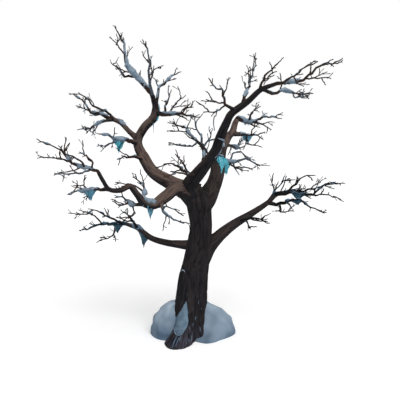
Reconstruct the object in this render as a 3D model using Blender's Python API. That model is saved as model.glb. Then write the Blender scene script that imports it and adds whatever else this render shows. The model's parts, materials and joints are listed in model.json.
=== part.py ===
"""A bare winter tree: a flared trunk, forked boughs, masses of bare twigs, snow and ice.

Metres, +Z up. The origin is the middle of the flat cut under the trunk, +X is to the right
and +Y is to the back. A heading is measured in degrees from +X round to +Y, and a climb in
degrees above level. Every limb and stem is a walk of short legs, each (heading, climb, length).
"""

import math
import random
from typing import NamedTuple

import bmesh
import bpy
import numpy as np
from mathutils import Vector

# Clearance between pieces that touch, the wider one round snow and ice where limbs bend,
# and the distance under which points are merged.
GAP = 0.0003
SNOW_GAP = 0.0007
MERGE = 0.00001

# Trunk: thickness at the ground, its walk up to the fork, and its thickness at each leg's end.
TRUNK_FOOT = 0.68
TRUNK_LEGS = ((0, 88, 0.70), (0, 85, 0.55), (0, 79, 0.55), (0, 83, 0.50), (180, 84, 0.40), (180, 82, 0.27))
TRUNK_THICKNESS = (0.63, 0.58, 0.50, 0.44, 0.50, 0.52)
TRUNK_SIDES = 30
TRUNK_LEVELS = (0.0, 0.06, 0.14, 0.25, 0.4, 0.6, 0.9, 1.3, 1.8, 2.25, 2.6, 2.85)
FORK_TOP = 2.97
FLUTES, FLUTE_DEPTH, FLUTE_TWIST = 7, 0.035, 1.1
# Roots of the flare: heading, how far the toe stands out of the trunk, sharpness of its ridge.
ROOTS = (
    (234, 0.44, 30),
    (250, 0.42, 40),
    (266, 0.46, 30),
    (300, 0.14, 14),
    (345, 0.16, 10),
    (45, 0.26, 10),
    (110, 0.22, 10),
    (165, 0.18, 10),
    (205, 0.16, 12),
)
ROOT_FALL = 0.24

# Tubes: sides of each kind, and how many short straight runs make a smooth leg.
BOUGH_SIDES, STEM_SIDES, TWIG_SIDES = 8, 4, 3
LEG_STEPS = 2
LEAD_IN, LEAD_IN_SHARE = 1.0, 0.4
COLLAR_MARGIN = 0.03
FLAT_SHARE = math.cos(math.pi / BOUGH_SIDES)

# Twigs: spacing along a stem, length, and how they fork, kink, lift and thin.
TWIG_SPACING = 0.3
TWIG_LENGTH = 0.38
TWIG_START, TWIG_END = 0.16, 0.97
TWIG_FORK = (28, 60)
TWIG_KINK = 24
TWIG_LIFT = 0.18
TURN = 137.5
SUB_TWIG_SHARE = 0.28
TIP_THICKNESS = 0.017
LEADER_SHARE = 0.72
TWIG_SHARE = 0.55
TWIG_CLEARANCE = 0.006
TEST_STEP = 0.02

# Snow mound round the foot: its height, how hollow its slope is and how full its shoulder, which
# both change from left to right, and its rim as (heading, reach, share of the height), low in
# front where the roots stand out.
MOUND_HEIGHT = 0.76
MOUND_SLOPE, MOUND_SLOPE_SWAY = 1.45, 0.4
MOUND_SHOULDER, MOUND_SHOULDER_SWAY = 0.9, -0.1
MOUND_RIM = (
    (0, 0.95, 1.0),
    (20, 0.93, 1.0),
    (90, 0.8, 1.0),
    (172, 0.84, 1.0),
    (200, 0.78, 1.0),
    (212, 0.74, 0.74),
    (221, 0.69, 0.5),
    (230, 0.55, 0.2),
    (240, 0.4, 0.1),
    (275, 0.4, 0.1),
    (286, 0.56, 0.1),
    (298, 0.71, 0.12),
    (310, 0.75, 0.22),
    (325, 0.75, 0.48),
    (340, 0.83, 0.9),
    (350, 0.9, 1.0),
)
MOUND_SIDES, MOUND_RINGS = 36, 5
CUTTER_DEPTH = 0.05

BARK = (0.035, 0.028, 0.026)
TWIG_BARK = (0.03, 0.024, 0.022)
SNOW = (0.40, 0.48, 0.56)
ICE = (0.06, 0.33, 0.42)


class Bough(NamedTuple):
    """A tapering limb that leaves its parent at a share of the parent's length."""

    parent: str
    at: float
    thick: float
    thin: float
    legs: tuple
    collar: float = 0.0
    taper: float = 1.0


class Mass(NamedTuple):
    """A mass of twigs on one stem, with the leaders that fork from it as (share, legs)."""

    parent: str
    at: float
    thick: float
    seed: int
    legs: tuple
    leaders: tuple = ()


class Cover(NamedTuple):
    """Snow or ice on a limb or stem, from one share of its length to another."""

    limb: str
    start: float
    end: float
    size: float
    count: int = 0


BOUGHS = {
    "bough_left_lower": Bough(
        "trunk", 0.99, 0.34, 0.215,
        ((175, 20, 0.35), (165, 25, 0.3), (165, 30, 0.4), (155, 55, 0.4)), 0.55,
    ),
    "bough_left_middle": Bough(
        "bough_left_lower", 1, 0.21, 0.175, ((140, 65, 0.3), (35, 60, 0.3), (15, 45, 0.25))
    ),
    "bough_left_upper": Bough("bough_left_middle", 1, 0.18, 0.113, ((35, 70, 0.25), (135, 70, 0.2))),
    "bough_back_left": Bough(
        "bough_left_middle", 0.41, 0.12, 0.091, ((125, 20, 0.4), (125, 25, 0.4), (125, 10, 0.4))
    ),
    "bough_front_left_inner": Bough(
        "trunk", 0.98, 0.28, 0.213, ((210, 20, 0.5), (225, -20, 0.3), (225, -25, 0.3)), 0.7
    ),
    "bough_front_left_middle": Bough(
        "bough_front_left_inner", 1, 0.19, 0.112, ((225, 8, 0.3), (228, 45, 0.24), (222, 50, 0.23))
    ),
    "bough_front_left_outer": Bough(
        "bough_front_left_middle", 1, 0.11, 0.068,
        ((215, -10, 0.25), (225, 10, 0.25), (240, 45, 0.25), (235, 55, 0.2)),
    ),
    "bough_low_left": Bough(
        "trunk", 0.63, 0.18, 0.085,
        ((160, 0, 0.45), (150, 0, 0.3), (155, 10, 0.35), (155, 30, 0.35), (155, 15, 0.3)),
    ),
    "bough_low_right": Bough(
        "trunk", 0.5, 0.44, 0.09,
        ((10, 52, 0.5), (25, 36, 0.55), (35, 22, 0.6), (25, 27, 0.4), (30, 34, 0.3)), 0.85, 0.5,
    ),
    "bough_front_right_lower": Bough(
        "trunk", 0.97, 0.3, 0.147,
        ((225, 50, 0.35), (310, 45, 0.35), (315, 45, 0.6), (300, 55, 0.4), (305, 55, 0.45)), 0.48,
    ),
    "bough_front_right_upper": Bough(
        "bough_front_right_lower", 1, 0.15, 0.071,
        ((335, 50, 0.15), (340, 35, 0.35), (330, 40, 0.3), (330, 20, 0.3)),
    ),
    "bough_back_right_lower": Bough(
        "trunk", 0.9, 0.36, 0.25, ((35, 50, 0.45), (50, 55, 0.3), (75, 55, 0.3), (75, 55, 0.25)), 0.48
    ),
    "bough_back_right_upper": Bough(
        "bough_back_right_lower", 1, 0.25, 0.112,
        ((60, 45, 0.4), (50, 35, 0.25), (60, 55, 0.2), (45, 55, 0.1)),
    ),
}

MASSES = {
    "twigs_left_top": Mass(
        "bough_left_upper", 1, 0.107, 343,
        ((165, 56, 0.28), (165, 45, 0.35), (170, 50, 0.25), (130, 75, 0.3), (90, 70, 0.18), (155, 55, 0.41)),
        (
            (0.33, ((150, 0, 0.3), (130, 38, 0.3), (130, 25, 0.3))),
            (0.62, ((140, 45, 0.13), (140, 38, 0.25))),
        ),
    ),
    "twigs_left_second_top": Mass(
        "bough_left_upper", 0.7, 0.074, 411,
        ((245, 65, 0.55), (270, 70, 0.5), (230, 75, 0.15), (210, 60, 0.2)),
        ((0.45, ((285, 15, 0.45), (315, 15, 0.3))),),
    ),
    "twigs_left_inner_top": Mass(
        "bough_left_upper", 0.5, 0.074, 481,
        ((80, 55, 0.55), (45, 30, 0.25), (50, 35, 0.2), (55, 15, 0.35)),
    ),
    "twigs_left_inner_side": Mass(
        "bough_left_upper", 0.33, 0.091, 154,
        ((325, -5, 0.3), (315, 5, 0.35), (315, -5, 0.35), (310, -5, 0.3)),
        (
            (0.3, ((80, 25, 0.25), (60, 35, 0.25), (50, 25, 0.3))),
            (0.2, ((95, 65, 0.18), (50, 55, 0.25), (60, 60, 0.15))),
            (0.55, ((50, 35, 0.2), (30, 5, 0.17))),
        ),
    ),
    "twigs_back_left_end": Mass(
        "bough_back_left", 1, 0.087, 407,
        ((155, 20, 0.3), (160, 5, 0.25), (140, 45, 0.4), (150, 25, 0.3)),
        ((0.35, ((130, 10, 0.6), (130, 10, 0.25))),),
    ),
    "twigs_back_left_side": Mass(
        "bough_back_left", 0.88, 0.065, 86,
        ((220, 40, 0.3), (220, 20, 0.35), (225, 50, 0.2), (225, 30, 0.25)),
    ),
    "twigs_left_elbow": Mass(
        "bough_left_middle", 0.3, 0.102, 368,
        ((235, 15, 0.35), (230, 5, 0.35), (240, 25, 0.25), (230, 5, 0.2)),
        ((0.5, ((230, -15, 0.35), (240, 0, 0.3))),),
    ),
    "twigs_back_left_under": Mass(
        "bough_back_left", 0.94, 0.074, 130,
        ((180, -10, 0.2), (200, -20, 0.15), (210, -30, 0.2), (205, -5, 0.3)),
        ((0.6, ((255, -20, 0.35),)),),
    ),
    "twigs_left_low": Mass(
        "bough_left_lower", 0.93, 0.082, 227,
        ((230, 15, 0.3), (235, 5, 0.3), (240, -10, 0.25)),
    ),
    "twigs_front_left_end": Mass(
        "bough_front_left_outer", 1, 0.064, 311,
        ((200, 25, 0.15), (195, 15, 0.2), (195, 30, 0.2), (205, 55, 0.25), (180, 25, 0.2), (180, 20, 0.2)),
        (
            (0.12, ((140, -20, 0.25), (155, -5, 0.2), (150, -5, 0.45))),
            (0.45, ((230, 15, 0.3), (215, 5, 0.25))),
            (0.2, ((240, 45, 0.2), (215, 25, 0.25), (215, 45, 0.25))),
            (0.1, ((290, 60, 0.15), (240, 40, 0.2), (215, 30, 0.15))),
        ),
    ),
    "twigs_front_left_side": Mass(
        "bough_front_left_outer", 0.54, 0.073, 209,
        ((145, -5, 0.25), (150, -10, 0.35), (150, 0, 0.15), (145, -20, 0.3)),
        ((0.5, ((120, 25, 0.2), (150, -5, 0.25))),),
    ),
    "twigs_front_left_raised": Mass(
        "bough_front_left_middle", 0.5, 0.068, 15,
        ((80, 35, 0.25), (105, 40, 0.2), (145, 25, 0.3)),
        ((0.3, ((150, 25, 0.35), (215, 10, 0.35))),),
    ),
    "twigs_front_left_hanging": Mass(
        "bough_front_left_middle", 0.32, 0.079, 86,
        ((190, -2, 0.28), (215, 40, 0.14), (215, 38, 0.15), (215, -4, 0.15)),
        ((0.4, ((300, -45, 0.2), (225, -25, 0.2))), (0.45, ((200, -5, 0.25),))),
    ),
    "twigs_front_left_inward": Mass(
        "bough_front_left_inner", 0.9, 0.07, 470,
        ((285, -35, 0.3), (320, -25, 0.3), (325, -10, 0.25)),
        ((0.25, ((285, 15, 0.4), (310, -5, 0.4))),),
    ),
    "twigs_low_left_end": Mass(
        "bough_low_left", 1, 0.085, 300,
        ((170, 0, 0.3), (160, -5, 0.3), (165, -20, 0.25), (160, -20, 0.3)),
        (
            (0.5, ((230, 40, 0.45), (220, 0, 0.3), (210, 15, 0.2))),
            (0.2, ((110, -40, 0.5), (145, -25, 0.55))),
            (0.08, ((205, 30, 0.3), (220, 30, 0.4), (205, 15, 0.2))),
        ),
    ),
    "twigs_low_left_raised": Mass(
        "bough_low_left", 0.85, 0.068, 37,
        ((250, 40, 0.35), (245, 40, 0.2), (230, 35, 0.25)),
    ),
    "twigs_low_right_end": Mass(
        "bough_low_right", 1, 0.094, 481,
        ((20, 10, 0.35), (15, -10, 0.4), (15, -5, 0.15), (10, 40, 0.35), (20, 5, 0.2), (15, -5, 0.3)),
        (
            (0.17, ((300, 40, 0.5), (325, 30, 0.2), (330, 5, 0.2))),
            (0.45, ((30, -5, 0.6), (35, -20, 0.4))),
            (0.3, ((345, 22, 0.25), (345, 0, 0.13), (345, 25, 0.22), (0, 8, 0.25))),
        ),
    ),
    "twigs_low_right_hanging": Mass(
        "bough_low_right", 0.9, 0.085, 198,
        ((335, -10, 0.2), (310, 20, 0.35), (320, 12, 0.3), (310, -25, 0.3), (330, -15, 0.3)),
        ((0.2, ((80, -35, 0.4), (40, -5, 0.45))),),
    ),
    "twigs_low_right_under": Mass(
        "bough_low_right", 0.57, 0.075, 72,
        ((295, 15, 0.35), (305, 10, 0.35), (315, -10, 0.3)),
        ((0.25, ((60, -45, 0.35),)),),
    ),
    "twigs_low_right_raised": Mass(
        "bough_low_right", 0.91, 0.063, 309,
        ((20, 58, 0.25), (130, 75, 0.12), (150, 65, 0.17)),
        ((0.45, ((20, 45, 0.2), (10, 50, 0.12), (10, 20, 0.15))), (0.4, ((350, 10, 0.25), (0, 5, 0.2)))),
    ),
    "twigs_front_right_end": Mass(
        "bough_front_right_upper", 1, 0.071, 87,
        ((350, 5, 0.25), (345, 10, 0.25), (350, 45, 0.3), (0, 25, 0.15), (0, 0, 0.15), (0, 30, 0.2)),
        ((0.1, ((290, 15, 0.45), (310, 35, 0.2), (340, 25, 0.3))), (0.42, ((45, 0, 0.35), (25, 0, 0.3)))),
    ),
    "twigs_front_right_under": Mass(
        "bough_front_right_upper", 0.77, 0.064, 112,
        ((40, -20, 0.25), (45, 10, 0.35), (35, -10, 0.35), (35, 0, 0.4)),
        ((0.6, ((280, -30, 0.2), (320, 0, 0.3))),),
    ),
    "twigs_front_right_raised": Mass(
        "bough_front_right_upper", 0.33, 0.073, 494,
        ((80, 35, 0.25), (60, 40, 0.3), (90, 40, 0.25), (90, 45, 0.25)),
        ((0.45, ((75, 30, 0.5), (80, 55, 0.35), (70, 55, 0.2))),),
    ),
    "twigs_front_right_raised_outer": Mass(
        "bough_front_right_upper", 0.7, 0.057, 224,
        ((275, 30, 0.3), (295, 40, 0.25), (315, 35, 0.3)),
        ((0.4, ((60, 20, 0.25), (30, 25, 0.2))),),
    ),
    "twigs_front_right_elbow": Mass(
        "bough_front_right_upper", 0.17, 0.066, 203,
        ((212, 28, 0.26), (200, 80, 0.27), (190, 5, 0.12), (200, 50, 0.13)),
        (
            (0.36, ((190, 0, 0.12), (200, 25, 0.13), (185, -15, 0.1))),
            (0.29, ((205, -35, 0.15), (190, -20, 0.13), (185, 0, 0.18))),
        ),
    ),
    "twigs_centre_back": Mass(
        "bough_front_right_lower", 0.43, 0.097, 197,
        ((90, 40, 0.4), (105, 30, 0.25), (125, 25, 0.45), (120, 40, 0.2), (150, 12, 0.2), (150, 12, 0.26)),
        (
            (0.36, ((90, 75, 0.2), (130, 45, 0.25), (110, 60, 0.3))),
            (0.45, ((235, -25, 0.2), (200, 5, 0.2), (190, 15, 0.3))),
            (0.3, ((40, 45, 0.25), (60, 50, 0.25))),
            (0.66, ((200, 10, 0.15), (190, 3, 0.3))),
        ),
    ),
    "twigs_centre_front": Mass(
        "bough_front_right_lower", 0.27, 0.087, 457,
        ((250, 20, 0.35), (240, 25, 0.35), (240, 20, 0.25), (235, 5, 0.3)),
        ((0.2, ((255, 10, 0.5), (245, 5, 0.45))), (0.35, ((230, 60, 0.2), (200, 50, 0.25)))),
    ),
    "twigs_back_right_end": Mass(
        "bough_back_right_upper", 1, 0.099, 361,
        ((35, -12, 0.25), (35, 0, 0.25), (35, 24, 0.25), (25, 0, 0.25), (25, -10, 0.25)),
        ((0.3, ((270, 35, 0.35), (315, 30, 0.3))), (0.4, ((330, -20, 0.3), (320, -20, 0.15)))),
    ),
    "twigs_back_right_side": Mass(
        "bough_back_right_upper", 0.63, 0.107, 129,
        ((35, -8, 0.25), (25, -8, 0.2), (30, 0, 0.25), (30, 20, 0.2)),
        ((0.45, ((265, -30, 0.3), (325, -10, 0.4))),),
    ),
    "twigs_back_right_low": Mass(
        "bough_back_right_lower", 0.93, 0.092, 470,
        ((60, -25, 0.25), (40, -10, 0.25), (20, 15, 0.3), (30, -25, 0.2), (40, -25, 0.25)),
        (
            (0.32, ((60, 55, 0.2), (20, 15, 0.2), (330, -40, 0.25))),
            (0.28, ((345, -35, 0.2), (20, 0, 0.2), (0, -20, 0.2))),
        ),
    ),
    "twigs_back_right_rear": Mass(
        "bough_back_right_upper", 0.29, 0.084, 198,
        ((75, -10, 0.45), (65, -10, 0.45), (75, 5, 0.4), (75, 25, 0.35)),
    ),
    "twigs_centre_rear": Mass(
        "bough_back_right_lower", 0.65, 0.091, 35,
        ((100, 15, 0.7), (100, 20, 0.55), (105, 10, 0.6)),
    ),
}

# Snow that lies on boughs as pieces of its own: limb, from, to, bulge.
BOUGH_SNOW = {
    "snow_front_left": Cover("bough_front_left_middle", 0.06, 0.58, 0.145),
    "snow_low_left": Cover("bough_low_left", 0.7, 0.97, 0.06),
    "snow_back_left": Cover("bough_back_left", 0.35, 0.8, 0.05),
    "snow_back_right": Cover("bough_back_right_upper", 0.05, 0.24, 0.11),
}
# Snow on the stems of masses, fused to them.
STEM_SNOW = (
    Cover("twigs_left_top", 0.1, 0.62, 0.085),
    Cover("twigs_left_inner_top", 0.45, 0.75, 0.04),
    Cover("twigs_left_inner_side", 0.04, 0.5, 0.05),
    Cover("twigs_back_left_end", 0.1, 0.36, 0.045),
    Cover("twigs_back_left_under", 0.1, 0.55, 0.045),
    Cover("twigs_left_elbow", 0.12, 0.7, 0.07),
    Cover("twigs_front_left_end", 0.1, 0.4, 0.07),
    Cover("twigs_front_left_side", 0.15, 0.75, 0.06),
    Cover("twigs_front_left_hanging", 0.03, 0.5, 0.075),
    Cover("twigs_front_right_end", 0.1, 0.36, 0.05),
    Cover("twigs_front_right_under", 0.3, 0.6, 0.07),
    Cover("twigs_front_right_raised", 0.1, 0.4, 0.06),
    Cover("twigs_centre_back", 0.45, 0.75, 0.05),
    Cover("twigs_back_right_end", 0.16, 0.42, 0.075),
    Cover("twigs_back_right_low", 0.1, 0.4, 0.06),
    Cover("twigs_back_right_rear", 0.25, 0.7, 0.06),
)
# Icicles that hang from boughs as pieces of their own: limb, from, to, length, count.
BOUGH_ICE = {
    "icicles_front_left": Cover("bough_front_left_middle", 0.1, 0.32, 0.27, 3),
    "icicles_low_left": Cover("bough_low_left", 0.67, 0.77, 0.29, 3),
}
# Icicles on the stems of masses, fused to them.
STEM_ICE = (
    Cover("twigs_left_elbow", 0.28, 0.55, 0.30, 3),
    Cover("twigs_front_left_side", 0.26, 0.52, 0.24, 3),
    Cover("twigs_back_right_side", 0.18, 0.48, 0.24, 4),
    Cover("twigs_back_right_low", 0.02, 0.2, 0.34, 3),
    Cover("twigs_low_right_hanging", 0.4, 0.6, 0.12, 2),
)
ICICLE_THICKNESS = 0.1
ICICLE_POINT = 0.004
ICICLE_SIDES = 4
SNOW_SIDES = 6
SNOW_RISE, SNOW_SINK = 0.9, 0.1
SNOW_STEPS = 3


# ---------------------------------------------------------------- lines that limbs follow


class Line:
    """A line of points with a radius at each."""

    def __init__(self, points, radii):
        self.points = [Vector(p) for p in points]
        self.radii = list(radii)

    def lengths(self):
        """The distance along the line to each of its points."""
        total = [0.0]
        for a, b in zip(self.points, self.points[1:]):
            total.append(total[-1] + (b - a).length)
        return total

    def place(self, distance):
        """The point, direction, radius and run number at a distance along the line."""
        lengths = self.lengths()
        run = max(i for i in range(len(lengths) - 1) if i == 0 or lengths[i] <= distance)
        share = (distance - lengths[run]) / (lengths[run + 1] - lengths[run])
        along = self.points[run + 1] - self.points[run]
        radius = self.radii[run] * (1 - share) + self.radii[run + 1] * share
        return self.points[run] + along * share, along.normalized(), radius, run

    def share(self, share):
        """The point, direction and radius at a share of the whole length."""
        return self.place(share * self.lengths()[-1])[:3]

    def part(self, start, end):
        """The part of the line between two distances."""
        first, _, first_radius, first_run = self.place(start)
        last, _, last_radius, last_run = self.place(end)
        inner = range(first_run + 1, last_run + 1)
        points = [first] + [self.points[i] for i in inner] + [last]
        radii = [first_radius] + [self.radii[i] for i in inner] + [last_radius]
        return Line(points, radii)


def direction(heading, climb):
    """The unit vector of a heading and a climb in degrees."""
    turn, rise = math.radians(heading), math.radians(climb)
    return Vector((math.cos(rise) * math.cos(turn), math.cos(rise) * math.sin(turn), math.sin(rise)))


def walk(start, legs):
    """The points passed by walking the legs from a start."""
    points = [Vector(start)]
    for heading, climb, length in legs:
        points.append(points[-1] + direction(heading, climb) * length)
    return points


def smooth(points, first_way=None):
    """A smooth line through the points, leaving the first one the given way."""
    ways = [(b - a) / 2 for a, b in zip(points, points[2:])]
    first_leg = points[1] - points[0]
    ways.insert(0, first_way * first_leg.length if first_way else first_leg)
    ways.append(points[-1] - points[-2])
    line = [points[0]]
    for a, b, way_a, way_b in zip(points, points[1:], ways, ways[1:]):
        for step in range(1, LEG_STEPS + 1):
            s = step / LEG_STEPS
            near = a * (2 * s**3 - 3 * s**2 + 1) + way_a * (s**3 - 2 * s**2 + s)
            line.append(near + b * (3 * s**2 - 2 * s**3) + way_b * (s**3 - s**2))
    return line


def tapered(points, thick, thin, power=1.0):
    """A line through the points that thins from one thickness to another."""
    lengths = Line(points, [0.0] * len(points)).lengths()
    shares = [s / lengths[-1] for s in lengths]
    return Line(points, [(thick + (thin - thick) * s**power) / 2 for s in shares])


def trunk_line():
    """The trunk's middle line from the ground to the fork."""
    thickness = (TRUNK_FOOT,) + TRUNK_THICKNESS
    return Line(walk((0, 0, 0), TRUNK_LEGS), [t / 2 for t in thickness])


def collar_length(parent_way, parent_radius, way, radius):
    """How far a side limb runs before it has left its parent's surface."""
    slant = max(0.5, parent_way.cross(way).length)
    return (parent_radius + 0.5 * radius) / slant + COLLAR_MARGIN


class Growth(NamedTuple):
    """A limb as grown: the stub that its parent carries, and the limb itself."""

    collar: Line
    limb: Line


def split_at_collar(line, length):
    """Cut a line square across, with the clearance between its two parts."""
    whole = line.lengths()[-1]
    return Growth(line.part(0, length), line.part(length + GAP, whole))


def carry_on(parent, line):
    """Start a line at its parent's tip, square to the tip's face and clear of it."""
    tip, way = parent.points[-1], (parent.points[-1] - parent.points[-2]).normalized()
    radius = line.radii[0]
    lead_in = min(LEAD_IN * radius, LEAD_IN_SHARE * (line.points[1] - tip).length)
    points = [tip + way * GAP, tip + way * lead_in] + line.points[1:]
    return Growth(None, Line(points, [radius, radius] + line.radii[1:]))


def grow_boughs(lines):
    """Each bough's collar and limb, worked out from its parent's line."""
    grown = {}
    for name, bough in BOUGHS.items():
        parent = lines[bough.parent]
        start, way, radius = parent.share(bough.at)
        points = smooth(walk(start, bough.legs), way if bough.at == 1 else None)
        line = tapered(points, bough.thick, bough.thin, bough.taper)
        lines[name] = line
        if bough.at == 1:
            grown[name] = carry_on(parent, line)
            continue
        first_way = (points[1] - points[0]).normalized()
        length = bough.collar or collar_length(way, radius, first_way, line.radii[0])
        grown[name] = split_at_collar(line, length)
    return grown


def grow_stems(lines):
    """Each mass's collar and stem, worked out from its bough's line."""
    grown = {}
    for name, mass in MASSES.items():
        parent = lines[mass.parent]
        start, way, radius = parent.share(mass.at)
        points = walk(start, mass.legs)
        line = tapered(points, mass.thick, TIP_THICKNESS)
        lines[name] = line
        if mass.at == 1:
            grown[name] = carry_on(parent, line)
            continue
        first_way = (points[1] - points[0]).normalized()
        grown[name] = split_at_collar(line, collar_length(way, radius, first_way, line.radii[0]))
    return grown


# ---------------------------------------------------------------- room that limbs take up


class Room:
    """The straight runs of every piece so far, each with its radius and its owner."""

    def __init__(self):
        self.owners, self.starts, self.ends, self.radii = [], [], [], []

    def take(self, owner, line):
        """Note the runs of a line as taken by their owner."""
        for i in range(len(line.points) - 1):
            self.owners.append(owner)
            self.starts.append(line.points[i])
            self.ends.append(line.points[i + 1])
            self.radii.append(max(line.radii[i], line.radii[i + 1]))

    def others(self, owner):
        """The runs of all other owners as arrays."""
        keep = [i for i, o in enumerate(self.owners) if o != owner]
        starts = np.array([self.starts[i] for i in keep])
        ends = np.array([self.ends[i] for i in keep])
        return starts, ends - starts, np.array([self.radii[i] for i in keep])


def is_clear(line, others):
    """Whether a line keeps clear of the other owners' runs and of the ground."""
    starts, spans, radii = others
    steps = max(2, math.ceil(line.lengths()[-1] / TEST_STEP))
    squares = np.maximum((spans**2).sum(axis=1), MERGE)
    for step in range(steps + 1):
        point, _, radius = line.share(step / steps)
        away = np.array(point) - starts
        shares = np.clip((away * spans).sum(axis=1) / squares, 0, 1)
        distances = np.linalg.norm(away - spans * shares[:, None], axis=1)
        if (distances < radii + radius + TWIG_CLEARANCE).any():
            return False
    return True


# ---------------------------------------------------------------- twigs


def turned(way, fork, roll):
    """A way that forks off another by an angle, rolled round it."""
    side = way.cross(Vector((0.3, 0.9, 0.32))).normalized()
    other = way.cross(side)
    fork, roll = math.radians(fork), math.radians(roll)
    out = side * math.cos(roll) + other * math.sin(roll)
    return (way * math.cos(fork) + out * math.sin(fork)).normalized()


def twig(dice, start, way, length, thickness):
    """One kinked twig of two runs."""
    up = Vector((0, 0, TWIG_LIFT))
    first = (way + up).normalized()
    second = turned(first, dice.uniform(0.4, 1) * TWIG_KINK, dice.uniform(0, 360))
    middle = start + first * length * dice.uniform(0.4, 0.6)
    points = [start, middle, middle + second * length * 0.5]
    return tapered(points, thickness, TIP_THICKNESS)


def side_twigs(dice, line, start_share, length):
    """Twigs in a rising turn round a line, each with its share of smaller ones."""
    whole = line.lengths()[-1]
    count = max(2, round(whole * (TWIG_END - start_share) / TWIG_SPACING))
    roll = dice.uniform(0, 360)
    for i in range(count):
        share = start_share + (TWIG_END - start_share) * (i + dice.uniform(0.2, 0.8)) / count
        point, way, radius = line.share(share)
        roll += TURN + dice.uniform(-30, 30)
        out = turned(way, dice.uniform(*TWIG_FORK), roll)
        reach = length * dice.uniform(0.65, 1.25) * (1 - 0.45 * share)
        larger = twig(dice, point, out, reach, max(TIP_THICKNESS * 1.3, 2 * radius * TWIG_SHARE))
        small = None
        small_share, small_roll = dice.uniform(0.3, 0.6), dice.uniform(0, 360)
        small_fork = dice.uniform(35, 65)
        if dice.random() < SUB_TWIG_SHARE:
            place, ahead, thickness = larger.share(small_share)
            small = twig(dice, place, turned(ahead, small_fork, small_roll), reach * 0.5, thickness * 1.6)
        yield larger, small


def leader_line(line, share, legs):
    """A leader that forks from a stem at a share of its length."""
    start, _, radius = line.share(share)
    return tapered(walk(start, legs), max(2 * radius * LEADER_SHARE, 1.4 * TIP_THICKNESS), TIP_THICKNESS)


def grow_mass(name, stem, whole, room):
    """The leaders and twigs of a mass, leaving out what would touch anything else."""
    mass = MASSES[name]
    dice = random.Random(mass.seed)
    others = room.others(name)
    leaders = [leader_line(whole, share, legs) for share, legs in mass.leaders]
    twigs = []
    for line, start in [(stem, TWIG_START)] + [(leader, 0.25) for leader in leaders]:
        for larger, small in side_twigs(dice, line, start, TWIG_LENGTH):
            if not is_clear(larger, others):
                continue
            twigs.append(larger)
            if small and is_clear(small, others):
                twigs.append(small)
    return leaders, twigs


# ---------------------------------------------------------------- meshes


def make_object(name, mesh, collection):
    """Put a mesh in a collection as an object."""
    thing = bpy.data.objects.new(name, mesh)
    collection.objects.link(thing)
    return thing


def curve_of(name, line, sides, profile, collection):
    """A curve object that sweeps a round or three-sided section along a line."""
    curve = bpy.data.curves.new(name, "CURVE")
    curve.dimensions = "3D"
    curve.use_fill_caps = True
    if sides == TWIG_SIDES:
        curve.bevel_mode = "OBJECT"
        curve.bevel_object = profile
    else:
        curve.bevel_depth = 1.0
        curve.bevel_resolution = (sides - 4) // 2
    spline = curve.splines.new("POLY")
    spline.points.add(len(line.points) - 1)
    for point, place, radius in zip(spline.points, line.points, line.radii):
        point.co = (*place, 1.0)
        point.radius = radius
    return make_object(name, curve, collection)


def triangle_profile(collection):
    """The three-sided section that twigs are swept with."""
    curve = bpy.data.curves.new("twig_section", "CURVE")
    spline = curve.splines.new("POLY")
    spline.points.add(TWIG_SIDES - 1)
    spline.use_cyclic_u = True
    for i, point in enumerate(spline.points):
        turn = 2 * math.pi * i / TWIG_SIDES
        point.co = (math.cos(turn), math.sin(turn), 0, 1)
    thing = make_object("twig_section", curve, collection)
    thing.hide_render = True
    return thing


def sweep(name, lines, sides, shop):
    """Closed meshes swept along lines, each welded at its caps and facing out."""
    curves = [curve_of(f"{name}_{i}", line, sides, shop.profile, shop.bench) for i, line in enumerate(lines)]
    bpy.context.view_layer.update()
    graph = bpy.context.evaluated_depsgraph_get()
    pieces = []
    for curve in curves:
        mesh = bpy.data.meshes.new_from_object(curve.evaluated_get(graph))
        weld(mesh, sides == BOUGH_SIDES)
        piece = make_object(curve.name + "_mesh", mesh, shop.bench)
        piece.matrix_world = curve.matrix_world
        pieces.append(piece)
    for curve in curves:
        bpy.data.objects.remove(curve)
    return pieces


def weld(mesh, split=True):
    """Merge a mesh's doubled points, turn its faces outwards and split them into triangles."""
    work = bmesh.new()
    work.from_mesh(mesh)
    bmesh.ops.remove_doubles(work, verts=work.verts, dist=MERGE)
    bmesh.ops.recalc_face_normals(work, faces=work.faces)
    if split:
        bmesh.ops.triangulate(work, faces=work.faces, quad_method="FIXED")
    work.to_mesh(mesh)
    work.free()


def keep_largest(mesh):
    """Drop loose scraps and sealed hollows, keeping the largest connected body."""
    work = bmesh.new()
    work.from_mesh(mesh)
    seen, bodies = set(), []
    for first in work.verts:
        if first in seen:
            continue
        body, queue = [], [first]
        seen.add(first)
        while queue:
            vert = queue.pop()
            body.append(vert)
            for edge in vert.link_edges:
                other = edge.other_vert(vert)
                if other not in seen:
                    seen.add(other)
                    queue.append(other)
        bodies.append(body)
    bodies.sort(key=len)
    for body in bodies[:-1]:
        bmesh.ops.delete(work, geom=body, context="VERTS")
    work.to_mesh(mesh)
    work.free()


def apply_boolean(base, tools, operation):
    """Join tools to a base, or cut them from it, in one Boolean on a collection.

    EXACT leaves some edges open where many tubes cross, so joins use MANIFOLD.
    """
    if not tools:
        return
    group = bpy.data.collections.new(base.name + "_tools")
    bpy.context.scene.collection.children.link(group)
    for tool in tools:
        group.objects.link(tool)
    boolean = base.modifiers.new("boolean", "BOOLEAN")
    boolean.operation = operation
    boolean.solver = "MANIFOLD" if operation == "UNION" else "EXACT"
    boolean.operand_type = "COLLECTION"
    boolean.collection = group
    bpy.context.view_layer.update()
    graph = bpy.context.evaluated_depsgraph_get()
    mesh = bpy.data.meshes.new_from_object(base.evaluated_get(graph))
    base.modifiers.clear()
    base.data = mesh
    for tool in tools:
        bpy.data.objects.remove(tool)
    bpy.data.collections.remove(group)
    keep_largest(mesh)


class Shop(NamedTuple):
    """Where work in hand is kept: the bench collection, the tree's own, and the twig section."""

    bench: object
    tree: object
    profile: object


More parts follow.
